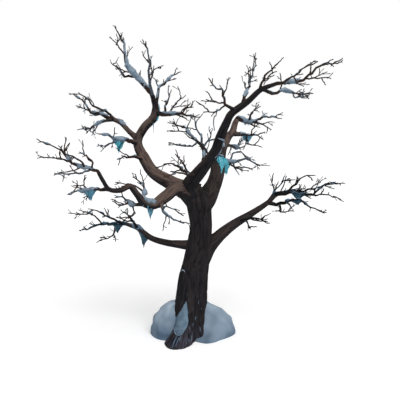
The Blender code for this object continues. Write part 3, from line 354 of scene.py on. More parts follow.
MASSES = {
    "twigs_left_top": Mass(
        "bough_left_upper", 1, 0.107, 343,
        ((165, 56, 0.28), (165, 45, 0.35), (170, 50, 0.25), (130, 75, 0.3), (90, 70, 0.18), (155, 55, 0.41)),
        (
            (0.33, ((150, 0, 0.3), (130, 38, 0.3), (130, 25, 0.3))),
            (0.62, ((140, 45, 0.13), (140, 38, 0.25))),
        ),
    ),
    "twigs_left_second_top": Mass(
        "bough_left_upper", 0.7, 0.074, 411,
        ((245, 65, 0.55), (270, 70, 0.5), (230, 75, 0.15), (210, 60, 0.2)),
        ((0.45, ((285, 15, 0.45), (315, 15, 0.3))),),
    ),
    "twigs_left_inner_top": Mass(
        "bough_left_upper", 0.5, 0.074, 481,
        ((80, 55, 0.55), (45, 30, 0.25), (50, 35, 0.2), (55, 15, 0.35)),
    ),
    "twigs_left_inner_side": Mass(
        "bough_left_upper", 0.33, 0.091, 154,
        ((325, -5, 0.3), (315, 5, 0.35), (315, -5, 0.35), (310, -5, 0.3)),
        (
            (0.3, ((80, 25, 0.25), (60, 35, 0.25), (50, 25, 0.3))),
            (0.2, ((95, 65, 0.18), (50, 55, 0.25), (60, 60, 0.15))),
            (0.55, ((50, 35, 0.2), (30, 5, 0.17))),
        ),
    ),
    "twigs_back_left_end": Mass(
        "bough_back_left", 1, 0.087, 407,
        ((155, 20, 0.3), (160, 5, 0.25), (140, 45, 0.4), (150, 25, 0.3)),
        ((0.35, ((130, 10, 0.6), (130, 10, 0.25))),),
    ),
    "twigs_back_left_side": Mass(
        "bough_back_left", 0.88, 0.065, 86,
        ((220, 40, 0.3), (220, 20, 0.35), (225, 50, 0.2), (225, 30, 0.25)),
    ),
    "twigs_left_elbow": Mass(
        "bough_left_middle", 0.3, 0.102, 368,
        ((235, 15, 0.35), (230, 5, 0.35), (240, 25, 0.25), (230, 5, 0.2)),
        ((0.5, ((230, -15, 0.35), (240, 0, 0.3))),),
    ),
    "twigs_back_left_under": Mass(
        "bough_back_left", 0.94, 0.074, 130,
        ((180, -10, 0.2), (200, -20, 0.15), (210, -30, 0.2), (205, -5, 0.3)),
        ((0.6, ((255, -20, 0.35),)),),
    ),
    "twigs_left_low": Mass(
        "bough_left_lower", 0.93, 0.082, 227,
        ((230, 15, 0.3), (235, 5, 0.3), (240, -10, 0.25)),
    ),
    "twigs_front_left_end": Mass(
        "bough_front_left_outer", 1, 0.064, 311,
        ((200, 25, 0.15), (195, 15, 0.2), (195, 30, 0.2), (205, 55, 0.25), (180, 25, 0.2), (180, 20, 0.2)),
        (
            (0.12, ((140, -20, 0.25), (155, -5, 0.2), (150, -5, 0.45))),
            (0.45, ((230, 15, 0.3), (215, 5, 0.25))),
            (0.2, ((240, 45, 0.2), (215, 25, 0.25), (215, 45, 0.25))),
            (0.1, ((290, 60, 0.15), (240, 40, 0.2), (215, 30, 0.15))),
        ),
    ),
    "twigs_front_left_side": Mass(
        "bough_front_left_outer", 0.54, 0.073, 209,
        ((145, -5, 0.25), (150, -10, 0.35), (150, 0, 0.15), (145, -20, 0.3)),
        ((0.5, ((120, 25, 0.2), (150, -5, 0.25))),),
    ),
    "twigs_front_left_raised": Mass(
        "bough_front_left_middle", 0.5, 0.068, 15,
        ((80, 35, 0.25), (105, 40, 0.2), (145, 25, 0.3)),
        ((0.3, ((150, 25, 0.35), (215, 10, 0.35))),),
    ),
    "twigs_front_left_hanging": Mass(
        "bough_front_left_middle", 0.32, 0.079, 86,
        ((190, -2, 0.28), (215, 40, 0.14), (215, 38, 0.15), (215, -4, 0.15)),
        ((0.4, ((300, -45, 0.2), (225, -25, 0.2))), (0.45, ((200, -5, 0.25),))),
    ),
    "twigs_front_left_inward": Mass(
        "bough_front_left_inner", 0.9, 0.07, 470,
        ((285, -35, 0.3), (320, -25, 0.3), (325, -10, 0.25)),
        ((0.25, ((285, 15, 0.4), (310, -5, 0.4))),),
    ),
    "twigs_low_left_end": Mass(
        "bough_low_left", 1, 0.085, 300,
        ((170, 0, 0.3), (160, -5, 0.3), (165, -20, 0.25), (160, -20, 0.3)),
        (
            (0.5, ((230, 40, 0.45), (220, 0, 0.3), (210, 15, 0.2))),
            (0.2, ((110, -40, 0.5), (145, -25, 0.55))),
            (0.08, ((205, 30, 0.3), (220, 30, 0.4), (205, 15, 0.2))),
        ),
    ),
    "twigs_low_left_raised": Mass(
        "bough_low_left", 0.85, 0.068, 37,
        ((250, 40, 0.35), (245, 40, 0.2), (230, 35, 0.25)),
    ),
    "twigs_low_right_end": Mass(
        "bough_low_right", 1, 0.094, 481,
        ((20, 10, 0.35), (15, -10, 0.4), (15, -5, 0.15), (10, 40, 0.35), (20, 5, 0.2), (15, -5, 0.3)),
        (
            (0.17, ((300, 40, 0.5), (325, 30, 0.2), (330, 5, 0.2))),
            (0.45, ((30, -5, 0.6), (35, -20, 0.4))),
            (0.3, ((345, 22, 0.25), (345, 0, 0.13), (345, 25, 0.22), (0, 8, 0.25))),
        ),
    ),
    "twigs_low_right_hanging": Mass(
        "bough_low_right", 0.9, 0.085, 198,
        ((335, -10, 0.2), (310, 20, 0.35), (320, 12, 0.3), (310, -25, 0.3), (330, -15, 0.3)),
        ((0.2, ((80, -35, 0.4), (40, -5, 0.45))),),
    ),
    "twigs_low_right_under": Mass(
        "bough_low_right", 0.57, 0.075, 72,
        ((295, 15, 0.35), (305, 10, 0.35), (315, -10, 0.3)),
        ((0.25, ((60, -45, 0.35),)),),
    ),
    "twigs_low_right_raised": Mass(
        "bough_low_right", 0.91, 0.063, 309,
        ((20, 58, 0.25), (130, 75, 0.12), (150, 65, 0.17)),
        ((0.45, ((20, 45, 0.2), (10, 50, 0.12), (10, 20, 0.15))), (0.4, ((350, 10, 0.25), (0, 5, 0.2)))),
    ),
    "twigs_front_right_end": Mass(
        "bough_front_right_upper", 1, 0.071, 87,
        ((350, 5, 0.25), (345, 10, 0.25), (350, 45, 0.3), (0, 25, 0.15), (0, 0, 0.15), (0, 30, 0.2)),
        ((0.1, ((290, 15, 0.45), (310, 35, 0.2), (340, 25, 0.3))), (0.42, ((45, 0, 0.35), (25, 0, 0.3)))),
    ),
    "twigs_front_right_under": Mass(
        "bough_front_right_upper", 0.77, 0.064, 112,
        ((40, -20, 0.25), (45, 10, 0.35), (35, -10, 0.35), (35, 0, 0.4)),
        ((0.6, ((280, -30, 0.2), (320, 0, 0.3))),),
    ),
    "twigs_front_right_raised": Mass(
        "bough_front_right_upper", 0.33, 0.073, 494,
        ((80, 35, 0.25), (60, 40, 0.3), (90, 40, 0.25), (90, 45, 0.25)),
        ((0.45, ((75, 30, 0.5), (80, 55, 0.35), (70, 55, 0.2))),),
    ),
    "twigs_front_right_raised_outer": Mass(
        "bough_front_right_upper", 0.7, 0.057, 224,
        ((275, 30, 0.3), (295, 40, 0.25), (315, 35, 0.3)),
        ((0.4, ((60, 20, 0.25), (30, 25, 0.2))),),
    ),
    "twigs_front_right_elbow": Mass(
        "bough_front_right_upper", 0.17, 0.066, 203,
        ((212, 28, 0.26), (200, 80, 0.27), (190, 5, 0.12), (200, 50, 0.13)),
        (
            (0.36, ((190, 0, 0.12), (200, 25, 0.13), (185, -15, 0.1))),
            (0.29, ((205, -35, 0.15), (190, -20, 0.13), (185, 0, 0.18))),
        ),
    ),
    "twigs_centre_back": Mass(
        "bough_front_right_lower", 0.43, 0.097, 197,
        ((90, 40, 0.4), (105, 30, 0.25), (125, 25, 0.45), (120, 40, 0.2), (150, 12, 0.2), (150, 12, 0.26)),
        (
            (0.36, ((90, 75, 0.2), (130, 45, 0.25), (110, 60, 0.3))),
            (0.45, ((235, -25, 0.2), (200, 5, 0.2), (190, 15, 0.3))),
            (0.3, ((40, 45, 0.25), (60, 50, 0.25))),
            (0.66, ((200, 10, 0.15), (190, 3, 0.3))),
        ),
    ),
    "twigs_centre_front": Mass(
        "bough_front_right_lower", 0.27, 0.087, 457,
        ((250, 20, 0.35), (240, 25, 0.35), (240, 20, 0.25), (235, 5, 0.3)),
        ((0.2, ((255, 10, 0.5), (245, 5, 0.45))), (0.35, ((230, 60, 0.2), (200, 50, 0.25)))),
    ),
    "twigs_back_right_end": Mass(
        "bough_back_right_upper", 1, 0.099, 361,
        ((35, -12, 0.25), (35, 0, 0.25), (35, 24, 0.25), (25, 0, 0.25), (25, -10, 0.25)),
        ((0.3, ((270, 35, 0.35), (315, 30, 0.3))), (0.4, ((330, -20, 0.3), (320, -20, 0.15)))),
    ),
    "twigs_back_right_side": Mass(
        "bough_back_right_upper", 0.63, 0.107, 129,
        ((35, -8, 0.25), (25, -8, 0.2), (30, 0, 0.25), (30, 20, 0.2)),
        ((0.45, ((265, -30, 0.3), (325, -10, 0.4))),),
    ),
    "twigs_back_right_low": Mass(
        "bough_back_right_lower", 0.93, 0.092, 470,
        ((60, -25, 0.25), (40, -10, 0.25), (20, 15, 0.3), (30, -25, 0.2), (40, -25, 0.25)),
        (
            (0.32, ((60, 55, 0.2), (20, 15, 0.2), (330, -40, 0.25))),
            (0.28, ((345, -35, 0.2), (20, 0, 0.2), (0, -20, 0.2))),
        ),
    ),
    "twigs_back_right_rear": Mass(
        "bough_back_right_upper", 0.29, 0.084, 198,
        ((75, -10, 0.45), (65, -10, 0.45), (75, 5, 0.4), (75, 25, 0.35)),
    ),
    "twigs_centre_rear": Mass(
        "bough_back_right_lower", 0.65, 0.091, 35,
        ((100, 15, 0.7), (100, 20, 0.55), (105, 10, 0.6)),
    ),
}

# Snow that lies on boughs as pieces of its own: limb, from, to, bulge.
BOUGH_SNOW = {
    "snow_front_left": Cover("bough_front_left_middle", 0.06, 0.58, 0.145),
    "snow_low_left": Cover("bough_low_left", 0.7, 0.97, 0.06),
    "snow_back_left": Cover("bough_back_left", 0.35, 0.8, 0.05),
    "snow_back_right": Cover("bough_back_right_upper", 0.05, 0.24, 0.11),
}
# Snow on the stems of masses, fused to them.
STEM_SNOW = (
    Cover("twigs_left_top", 0.1, 0.62, 0.085),
    Cover("twigs_left_inner_top", 0.45, 0.75, 0.04),
    Cover("twigs_left_inner_side", 0.04, 0.5, 0.05),
    Cover("twigs_back_left_end", 0.1, 0.36, 0.045),
    Cover("twigs_back_left_under", 0.1, 0.55, 0.045),
    Cover("twigs_left_elbow", 0.12, 0.7, 0.07),
    Cover("twigs_front_left_end", 0.1, 0.4, 0.07),
    Cover("twigs_front_left_side", 0.15, 0.75, 0.06),
    Cover("twigs_front_left_hanging", 0.03, 0.5, 0.075),
    Cover("twigs_front_right_end", 0.1, 0.36, 0.05),
    Cover("twigs_front_right_under", 0.3, 0.6, 0.07),
    Cover("twigs_front_right_raised", 0.1, 0.4, 0.06),
    Cover("twigs_centre_back", 0.45, 0.75, 0.05),
    Cover("twigs_back_right_end", 0.16, 0.42, 0.075),
    Cover("twigs_back_right_low", 0.1, 0.4, 0.06),
    Cover("twigs_back_right_rear", 0.25, 0.7, 0.06),
)
# Icicles that hang from boughs as pieces of their own: limb, from, to, length, count.
BOUGH_ICE = {
    "icicles_front_left": Cover("bough_front_left_middle", 0.1, 0.32, 0.27, 3),
    "icicles_low_left": Cover("bough_low_left", 0.67, 0.77, 0.29, 3),
}
# Icicles on the stems of masses, fused to them.
STEM_ICE = (
    Cover("twigs_left_elbow", 0.28, 0.55, 0.30, 3),
    Cover("twigs_front_left_side", 0.26, 0.52, 0.24, 3),
    Cover("twigs_back_right_side", 0.18, 0.48, 0.24, 4),
    Cover("twigs_back_right_low", 0.02, 0.2, 0.34, 3),
    Cover("twigs_low_right_hanging", 0.4, 0.6, 0.12, 2),
)
ICICLE_THICKNESS = 0.1
ICICLE_POINT = 0.004
SNOW_RISE, SNOW_SINK = 0.9, 0.1
SNOW_STEPS = 3

# Limbs low in the crown, whose twigs, snow and ice are given darker colours as painted shade.
LOW_LIMBS = (
    "bough_low_left",
    "bough_low_right",
    "twigs_low_left_end",
    "twigs_low_left_raised",
    "twigs_low_right_end",
    "twigs_low_right_hanging",
    "twigs_low_right_raised",
    "twigs_low_right_under",
)
# How often a spray of these masses is rimed with frost.
FROSTED = {
    "twigs_left_top": 0.25,
    "twigs_left_second_top": 0.25,
    "twigs_left_inner_top": 0.3,
    "twigs_left_inner_side": 0.3,
    "twigs_back_left_end": 0.3,
    "twigs_back_left_under": 0.4,
    "twigs_left_elbow": 0.4,
    "twigs_front_left_raised": 0.35,
    "twigs_front_left_hanging": 0.35,
    "twigs_front_left_side": 0.4,
    "twigs_front_right_raised": 0.35,
    "twigs_centre_back": 0.35,
    "twigs_back_right_low": 0.45,
    "twigs_back_right_rear": 0.5,
    "twigs_low_right_raised": 0.4,
}
# Thin snow and ice that only the dressed tree shows.
MORE_SNOW = (
    Cover("twigs_left_top", 0.5, 0.86, 0.026),
    Cover("twigs_left_inner_top", 0.02, 0.45, 0.026),
    Cover("twigs_front_left_inward", 0.0, 0.5, 0.026),
    Cover("twigs_front_left_raised", 0.0, 0.34, 0.055),
    Cover("twigs_front_left_raised", 0.3, 0.7, 0.024),
    Cover("bough_front_left_middle", 0.0, 0.34, 0.075),
    Cover("bough_front_left_middle", 0.3, 0.66, 0.075),
    Cover("twigs_back_right_end", 0.02, 0.3, 0.07),
    Cover("twigs_back_right_side", 0.02, 0.32, 0.04),
    Cover("twigs_back_right_low", 0.0, 0.2, 0.055),
    Cover("twigs_left_elbow", 0.7, 1.0, 0.035),
    Cover("twigs_low_left_end", 0.05, 0.32, 0.045),
    Cover("twigs_low_right_end", 0.1, 0.42, 0.045),
    Cover("twigs_low_right_raised", 0.05, 0.4, 0.028),
    Cover("bough_low_right", 0.93, 0.99, 0.035),
)
MORE_ICE = (
    Cover("bough_low_left", 0.61, 0.79, 0.34, 4),
    Cover("twigs_low_left_end", 0.1, 0.27, 0.22, 3),
    Cover("twigs_low_right_end", 0.24, 0.38, 0.2, 3),
    Cover("twigs_low_right_hanging", 0.42, 0.6, 0.12, 2),
)
# Thin icicles that hang alone: limb, share, heading of the side, length and thickness.
DROPS = (
    ("bough_left_middle", 0.97, 330, 0.25, 0.022),
    ("bough_front_left_middle", 0.36, 270, 0.2, 0.035),
    ("twigs_back_right_low", 0.1, 270, 0.16, 0.03),
)
# Limbs whose ice is steel blue, and not clear cyan.
BLUE_ICE = ("bough_left_middle", "bough_front_left_middle", "twigs_front_left_side", "twigs_back_right_side")
# Thin lines of snow that lie on a limb's skin, and sheets of ice that run down it to a point:
# limb, thickness, then (share, heading).
SKIN_SNOW = (
    (
        "bough_front_right_lower", 0.034,
        ((0.74, 240), (0.745, 270), (0.735, 310), (0.705, 345), (0.67, 355)),
    ),
    ("bough_front_right_lower", 0.024, ((0.61, 352), (0.56, 325), (0.52, 308), (0.48, 296))),
    ("bough_back_right_lower", 0.05, ((0.86, 262), (0.86, 285), (0.84, 305))),
)
SKIN_ICE = (("bough_left_upper", 0.03, ((0.1, 340), (0.35, 345), (0.6, 350), (0.85, 0))),)
# Sheets of ice that run down a limb's skin to one point: limb, share at the top and at the point,
# headings of the sides and of the point, how many runs, and their thickness.
SHEETS = (("bough_back_right_lower", 0.79, 0.36, 238, 342, 296, 9, 0.085),)
# Banks that the dressed tree shows slimmer than the solid one.
SLIM_BANKS = {
    "bough_front_left_middle": 0.6,
    "twigs_front_right_under": 0.65,
    "twigs_front_right_raised": 0.7,
    "twigs_front_left_end": 0.8,
}
# The heights up to which the drift and the snow in the hollow are painted darker as shade, and the drift's
# patches.
DRIFT_TOP, HOLLOW_TOP, DRIFT_PATCHES = 0.62, 0.56, 2.4
# Settings of shader nodes that several materials share.
SHARE_OF = {"operation": "MULTIPLY_ADD", "use_clamp": True}
TIMES = {"operation": "MULTIPLY", "use_clamp": True}
SOFT = {"interpolation_type": "SMOOTHSTEP"}
BLEND = {"data_type": "RGBA"}

# ---------------------------------------------------------------- lines that limbs follow


class Line:
    """A line of points with a radius at each."""

    def __init__(self, points, radii):
        self.points = [Vector(p) for p in points]
        self.radii = list(radii)

    def runs(self):
        """The ends and the radii at the ends of each straight run."""
        return zip(self.points, self.points[1:], self.radii, self.radii[1:])

    def lengths(self):
        """The distance along the line to each of its points."""
        total = [0.0]
        for a, b in zip(self.points, self.points[1:]):
            total.append(total[-1] + (b - a).length)
        return total

    def place(self, distance):
        """The point, direction, radius and run number at a distance along the line."""
        lengths = self.lengths()
        run = max(i for i in range(len(lengths) - 1) if i == 0 or lengths[i] <= distance)
        share = (distance - lengths[run]) / (lengths[run + 1] - lengths[run])
        along = self.points[run + 1] - self.points[run]
        radius = self.radii[run] * (1 - share) + self.radii[run + 1] * share
        return self.points[run] + along * share, along.normalized(), radius, run

    def share(self, share):
        """The point, direction and radius at a share of the whole length."""
        return self.place(share * self.lengths()[-1])[:3]

    def part(self, start, end):
        """The part of the line between two distances."""
        first, _, first_radius, first_run = self.place(start)
        last, _, last_radius, last_run = self.place(end)
        inner = range(first_run + 1, last_run + 1)
        points = [first] + [self.points[i] for i in inner] + [last]
        radii = [first_radius] + [self.radii[i] for i in inner] + [last_radius]
        return Line(points, radii)


def direction(heading, climb):
    """The unit vector of a heading and a climb in degrees."""
    turn, rise = math.radians(heading), math.radians(climb)
    return Vector((math.cos(rise) * math.cos(turn), math.cos(rise) * math.sin(turn), math.sin(rise)))


def walk(start, legs):
    """The points passed by walking the legs from a start."""
    points = [Vector(start)]
    for heading, climb, length in legs:
        points.append(points[-1] + direction(heading, climb) * length)
    return points


def eased(share):
    """A share that starts and ends softly."""
    return share * share * (3 - 2 * share)


def top_of(way, lean=0.8):
    """The side of a limb that snow lies on, which leans back along a steep limb."""
    return (UP - way * way.z * lean).normalized()


def side_of(way, heading):
    """The side of a limb that faces a heading."""
    out = direction(heading, 0)
    return (out - way * out.dot(way)).normalized()


def smooth(points, first_way=None, steps=LEG_STEPS):
    """A smooth line through the points, leaving the first one the given way."""
    ways = [(b - a) / 2 for a, b in zip(points, points[2:])]
    first_leg = points[1] - points[0]
    ways.insert(0, first_way * first_leg.length if first_way else first_leg)
    ways.append(points[-1] - points[-2])
    line = [points[0]]
    for a, b, way_a, way_b in zip(points, points[1:], ways, ways[1:]):
        for step in range(1, steps + 1):
            s = step / steps
            near = a * (2 * s**3 - 3 * s**2 + 1) + way_a * (s**3 - 2 * s**2 + s)
            line.append(near + b * (3 * s**2 - 2 * s**3) + way_b * (s**3 - s**2))
    return line


def tapered(points, thick, thin, power=1.0):
    """A line through the points that thins from one thickness to another."""
    lengths = Line(points, [0.0] * len(points)).lengths()
    shares = [s / lengths[-1] for s in lengths]
    return Line(points, [(thick + (thin - thick) * s**power) / 2 for s in shares])


def trunk_line():
    """The trunk's middle line from the ground to the fork."""
    thickness = (TRUNK_FOOT,) + TRUNK_THICKNESS
    return Line(walk((0, 0, 0), TRUNK_LEGS), [t / 2 for t in thickness])


def collar_length(parent_way, parent_radius, way, radius):
    """How far a side limb runs before it has left its parent's surface."""
    slant = max(0.5, parent_way.cross(way).length)
    return (parent_radius + 0.5 * radius) / slant + COLLAR_MARGIN


class Plan(NamedTuple):
    """Lines with the solid model's points, finer ones, collar lengths, and limbs past collars."""

    lines: dict
    fine: dict
    collars: dict
    limbs: dict


@functools.lru_cache(maxsize=None)
def plan():
    """Every line of the tree, worked out as the solid model's are."""
    lines = {"trunk": trunk_line()}
    made = Plan(lines, {"trunk": lines["trunk"]}, {}, {})
    for name, bough in BOUGHS.items():
        start, way, radius = lines[bough.parent].share(bough.at)
        first_way = way if bough.at == 1 else None
        points = walk(start, bough.legs)
        sizes = (bough.thick, bough.thin, bough.taper)
        lines[name] = tapered(smooth(points, first_way), *sizes)
        made.fine[name] = tapered(smooth(points, first_way, FINE_STEPS), *sizes)
        note_collar(name, bough, way, radius, bough.collar, made)
    for name, mass in MASSES.items():
        start, way, radius = lines[mass.parent].share(mass.at)
        lines[name] = tapered(walk(start, mass.legs), mass.thick, TIP_THICKNESS)
        made.fine[name] = lines[name]
        note_collar(name, mass, way, radius, 0.0, made)
    return made


def note_collar(name, limb, way, radius, given, made):
    """Work out where a limb or stem leaves its parent, as the solid model does."""
    line = made.lines[name]
    if limb.at == 1:
        tip = made.lines[limb.parent].points[-1]
        lead_in = min(LEAD_IN * line.radii[0], LEAD_IN_SHARE * (line.points[1] - tip).length)
        points = [tip + way * GAP, tip + way * lead_in] + line.points[1:]
        made.limbs[name] = Line(points, [line.radii[0]] * 2 + line.radii[1:])
        return
    first_way = (line.points[1] - line.points[0]).normalized()
    made.collars[name] = given or collar_length(way, radius, first_way, line.radii[0])
    made.limbs[name] = line.part(made.collars[name] + GAP, line.lengths()[-1])


def parent_of(name):
    """The limb that a bough or a mass grows from."""
    return (BOUGHS.get(name) or MASSES.get(name)).parent


def side_limbs(parent, table):
    """The names in a table that leave a limb's side."""
    return [n for n, limb in table.items() if limb.parent == parent and limb.at != 1]


# ---------------------------------------------------------------- room and twigs


class Room:
    """The straight runs of every piece so far, each with its radius and its owner."""

    def __init__(self):
        self.owners, self.starts, self.ends, self.radii = [], [], [], []

    def take(self, owner, line):
        """Note the runs of a line as taken by their owner."""
        for start, end, radius, other in line.runs():
            self.owners.append(owner)
            self.starts.append(start)
            self.ends.append(end)
            self.radii.append(max(radius, other))

    def others(self, owner):
        """The runs of all other owners as arrays."""
        keep = [i for i, o in enumerate(self.owners) if o != owner]
        starts = np.array([self.starts[i] for i in keep])
        ends = np.array([self.ends[i] for i in keep])
        return starts, ends - starts, np.array([self.radii[i] for i in keep])


def is_clear(line, others):
    """Whether a line keeps clear of the other owners' runs and of the ground."""
    starts, spans, radii = others
    steps = max(2, math.ceil(line.lengths()[-1] / TEST_STEP))
    squares = np.maximum((spans**2).sum(axis=1), LEAST_SQUARE)
    for step in range(steps + 1):
        point, _, radius = line.share(step / steps)
        away = np.array(point) - starts
        shares = np.clip((away * spans).sum(axis=1) / squares, 0, 1)
        distances = np.linalg.norm(away - spans * shares[:, None], axis=1)
        if (distances < radii + radius + TWIG_CLEARANCE).any():
            return False
    return True


def turned(way, fork, roll):
    """A way that forks off another by an angle, rolled round it."""
    side = way.cross(Vector((0.3, 0.9, 0.32))).normalized()
    other = way.cross(side)
    fork, roll = math.radians(fork), math.radians(roll)
    out = side * math.cos(roll) + other * math.sin(roll)
    return (way * math.cos(fork) + out * math.sin(fork)).normalized()


def twig(dice, start, way, length, thickness):
    """One kinked twig of two runs."""
    up = Vector((0, 0, TWIG_LIFT))
    first = (way + up).normalized()
    second = turned(first, dice.uniform(0.4, 1) * TWIG_KINK, dice.uniform(0, 360))
    middle = start + first * length * dice.uniform(0.4, 0.6)
    points = [start, middle, middle + second * length * 0.5]
    return tapered(points, thickness, TIP_THICKNESS)


def side_twigs(dice, line, start_share):
    """Twigs in a rising turn round a line, each with its share of smaller ones."""
    whole = line.lengths()[-1]
    count = max(2, round(whole * (TWIG_END - start_share) / TWIG_SPACING))
    roll = dice.uniform(0, 360)
    for i in range(count):
        share = start_share + (TWIG_END - start_share) * (i + dice.uniform(0.2, 0.8)) / count
        point, way, radius = line.share(share)
        roll += TURN + dice.uniform(-TURN_SWAY, TURN_SWAY)
        out = turned(way, dice.uniform(*TWIG_FORK), roll)
        reach = TWIG_LENGTH * dice.uniform(*TWIG_SPREAD) * (1 - TWIG_LOSS * share)
        larger = twig(dice, point, out, reach, max(TIP_THICKNESS * 1.3, 2 * radius * TWIG_SHARE))
        small = None
        small_share, small_roll = dice.uniform(0.3, 0.6), dice.uniform(0, 360)
        small_fork = dice.uniform(*SUB_TWIG_FORK)
        if dice.random() < SUB_TWIG_SHARE:
            place, ahead, thickness = larger.share(small_share)
            small = twig(dice, place, turned(ahead, small_fork, small_roll), reach * 0.5, thickness * 1.6)
        yield larger, small


def leader_line(line, share, legs):
    """A leader that forks from a stem at a share of its length."""
    start, _, radius = line.share(share)
    return tapered(walk(start, legs), max(2 * radius * LEADER_SHARE, 1.4 * TIP_THICKNESS), TIP_THICKNESS)


def grow_mass(name, stem, whole, room):
    """The leaders and twigs of a mass, leaving out what would touch anything else."""
    mass = MASSES[name]
    dice = random.Random(mass.seed)
    others = room.others(name)
    leaders = [leader_line(whole, share, legs) for share, legs in mass.leaders]
    twigs = []
    for line, start in [(stem, TWIG_START)] + [(leader, LEADER_TWIG_START) for leader in leaders]:
        for larger, small in side_twigs(dice, line, start):
            if not is_clear(larger, others):
                continue
            twigs.append(larger)
            if small and is_clear(small, others):
                twigs.append(small)
    return leaders, twigs


def snow_line(line, cover):
    """The line of a bank of snow that lies on top of a limb."""
    points, radii = [], []
    for step in range(SNOW_STEPS + 1):
        s = step / SNOW_STEPS
        point, way, radius = line.share(cover.start + (cover.end - cover.start) * s)
        bulge = cover.size * (0.35 + 0.65 * math.sin(math.pi * s) ** 0.6)
        points.append(point + top_of(way) * (SNOW_RISE * radius - SNOW_SINK * bulge))
        radii.append(bulge)
    return Line(points, radii)


def icicle_lines(line, cover):
    """The lines of a row of icicles that hang from a limb."""
    icicles = []
    for i in range(cover.count):
        s = (i + 0.5) / cover.count
        point, _, radius = line.share(cover.start + (cover.end - cover.start) * s)
        length = cover.size * (1 - 0.45 * abs(2 * s - 1)) + radius
        half = ICICLE_THICKNESS / 2 * (0.7 + 0.3 * length / 0.4)
        down = Vector((0, 0, -1))
        icicles.append(Line([point, point + down * length], [half, ICICLE_POINT]))
    return icicles


@functools.lru_cache(maxsize=None)
def crown():
    """Each mass's leaders and twigs, by the solid model's rule and in its order of draws."""
    made = plan()
    room = Room()
    room.take("trunk", made.lines["trunk"])
    for name, limb in made.limbs.items():
        room.take(name, limb)
        if name in made.collars:
            room.take(parent_of(name), made.lines[name].part(0, made.collars[name]))
    for name, mass in MASSES.items():
        for share, legs in mass.leaders:
            room.take(name, leader_line(made.lines[name], share, legs))
    for name, cover in BOUGH_SNOW.items():
        room.take(name, snow_line(made.limbs[cover.limb], cover))
    for name, cover in BOUGH_ICE.items():
        for icicle in icicle_lines(made.limbs[cover.limb], cover):
            room.take(name, icicle)
    for cover in STEM_SNOW:
        room.take(cover.limb, snow_line(made.limbs[cover.limb], cover))
    for cover in STEM_ICE:
        for icicle in icicle_lines(made.limbs[cover.limb], cover):
            room.take(cover.limb, icicle)
    masses = {}
    for name in MASSES:
        masses[name] = grow_mass(name, made.limbs[name], made.lines[name], room)
        for line in masses[name][1]:
            room.take(name, line)
    return masses, room


def roughened(line, dice, thin=1.0):
    """A line with knees between its points, each off by a share of the run, and thinner."""
    points, radii = [line.points[0]], [line.radii[0] * thin]
    for a, b, r, s in line.runs():
        run = b - a
        for share in [dice.uniform(*knee) for knee in KNEES]:
            off = Vector((dice.uniform(-1, 1), dice.uniform(-1, 1), dice.uniform(-1, 1)))
            off *= WOBBLE * min(run.length, WOBBLE_RUN)
            points.append(a + run * share + off)
            radii.append((r * (1 - share) + s * share) * thin * dice.uniform(*GNARL))
        points.append(b)
        radii.append(s * thin)
    return Line(points, radii)


def to_fine_tip(line):
    """The same line, thinning to a fine tip over its last part."""
    lengths = line.lengths()
    whole = lengths[-1]
    loss = 1 - FINE_TIP / (2 * line.radii[-1])
    radii = [r * (1 - loss * (s / whole) ** 2) for r, s in zip(line.radii, lengths)]
    return Line(line.points, radii)


def within(line, low, high):
    """Whether a line's points all lie in a box."""
    return all(low[i] <= p[i] <= high[i] for p in line.points for i in range(3))


def shoots_on(line, dice, low, high, length, start, spacing):
    """Small kinked shoots along a line, kept to a box, some with a smaller spur."""
    whole = line.lengths()[-1]
    count = max(1, round(whole * (1 - start) / spacing))
    roll = dice.uniform(0, 360)
    grown = []
    for i in range(count):
        share = start + (0.98 - start) * (i + dice.uniform(0.1, 0.9)) / count
        point, way, radius = line.share(share)
        roll += TURN + dice.uniform(-SHOOT_SWAY, SHOOT_SWAY)
        out = turned(way, dice.uniform(*SHOOT_FORK), roll)
        reach = length * dice.uniform(*SHOOT_SPREAD) * (1 - SHOOT_LOSS * share)
        thick = min(SHOOT_THICKNESS, 1.5 * radius)
        shoot = twig(dice, point, out, reach, thick)
        shoot = Line(shoot.points, [thick / 2, thick * 0.38, FINE_TIP / 2])
        spur_fork, spur_roll = dice.uniform(*SPUR_FORK), dice.uniform(0, 360)
        has_spur = dice.random() < SPUR_SHARE
        if not within(shoot, low, high):
            continue
        grown.append(shoot)
        if has_spur:
            place, ahead, _ = shoot.share(0.5)
            end = place + turned(ahead, spur_fork, spur_roll) * reach * 0.5
            spur = Line([place, end], [thick * 0.35, FINE_TIP / 2])
            if within(spur, low, high):
                grown.append(spur)
    return grown


# ---------------------------------------------------------------- mesh helpers


def deselect():
    """Deselect everything, which the loaded nodes are not to begin with."""
    for thing in bpy.context.view_layer.objects.selected[:]:
        thing.select_set(False)


def activate(thing):
    """Make one object the only one selected, and the active one."""
    deselect()
    thing.select_set(True)
    bpy.context.view_layer.objects.active = thing


def tubes(name, lines, resolution):
    """A mesh of closed tubes swept along lines, each line a spline of one bevelled curve."""
    curve = bpy.data.curves.new(name, "CURVE")
    curve.dimensions = "3D"
    curve.bevel_depth = 1.0
    curve.bevel_resolution = resolution
    curve.use_fill_caps = True
    for line in lines:
        spline = curve.splines.new("POLY")
        spline.points.add(len(line.points) - 1)
        spline.points.foreach_set("co", [c for p in line.points for c in (*p, 1.0)])
        spline.points.foreach_set("radius", line.radii)
    thing = bpy.data.objects.new(name, curve)
    bpy.context.scene.collection.objects.link(thing)
    activate(thing)
    bpy.ops.object.convert(target="MESH")
    thing = bpy.context.object
    merge_doubles(thing)
    return thing


def merge_doubles(thing):
    """Close the seams of a mesh and turn its faces outwards."""
    activate(thing)
    bpy.ops.object.mode_set(mode="EDIT")
    bpy.ops.mesh.select_all(action="SELECT")
    bpy.ops.mesh.remove_doubles(threshold=WELD)
    bpy.ops.mesh.normals_make_consistent(inside=False)
    bpy.ops.object.mode_set(mode="OBJECT")


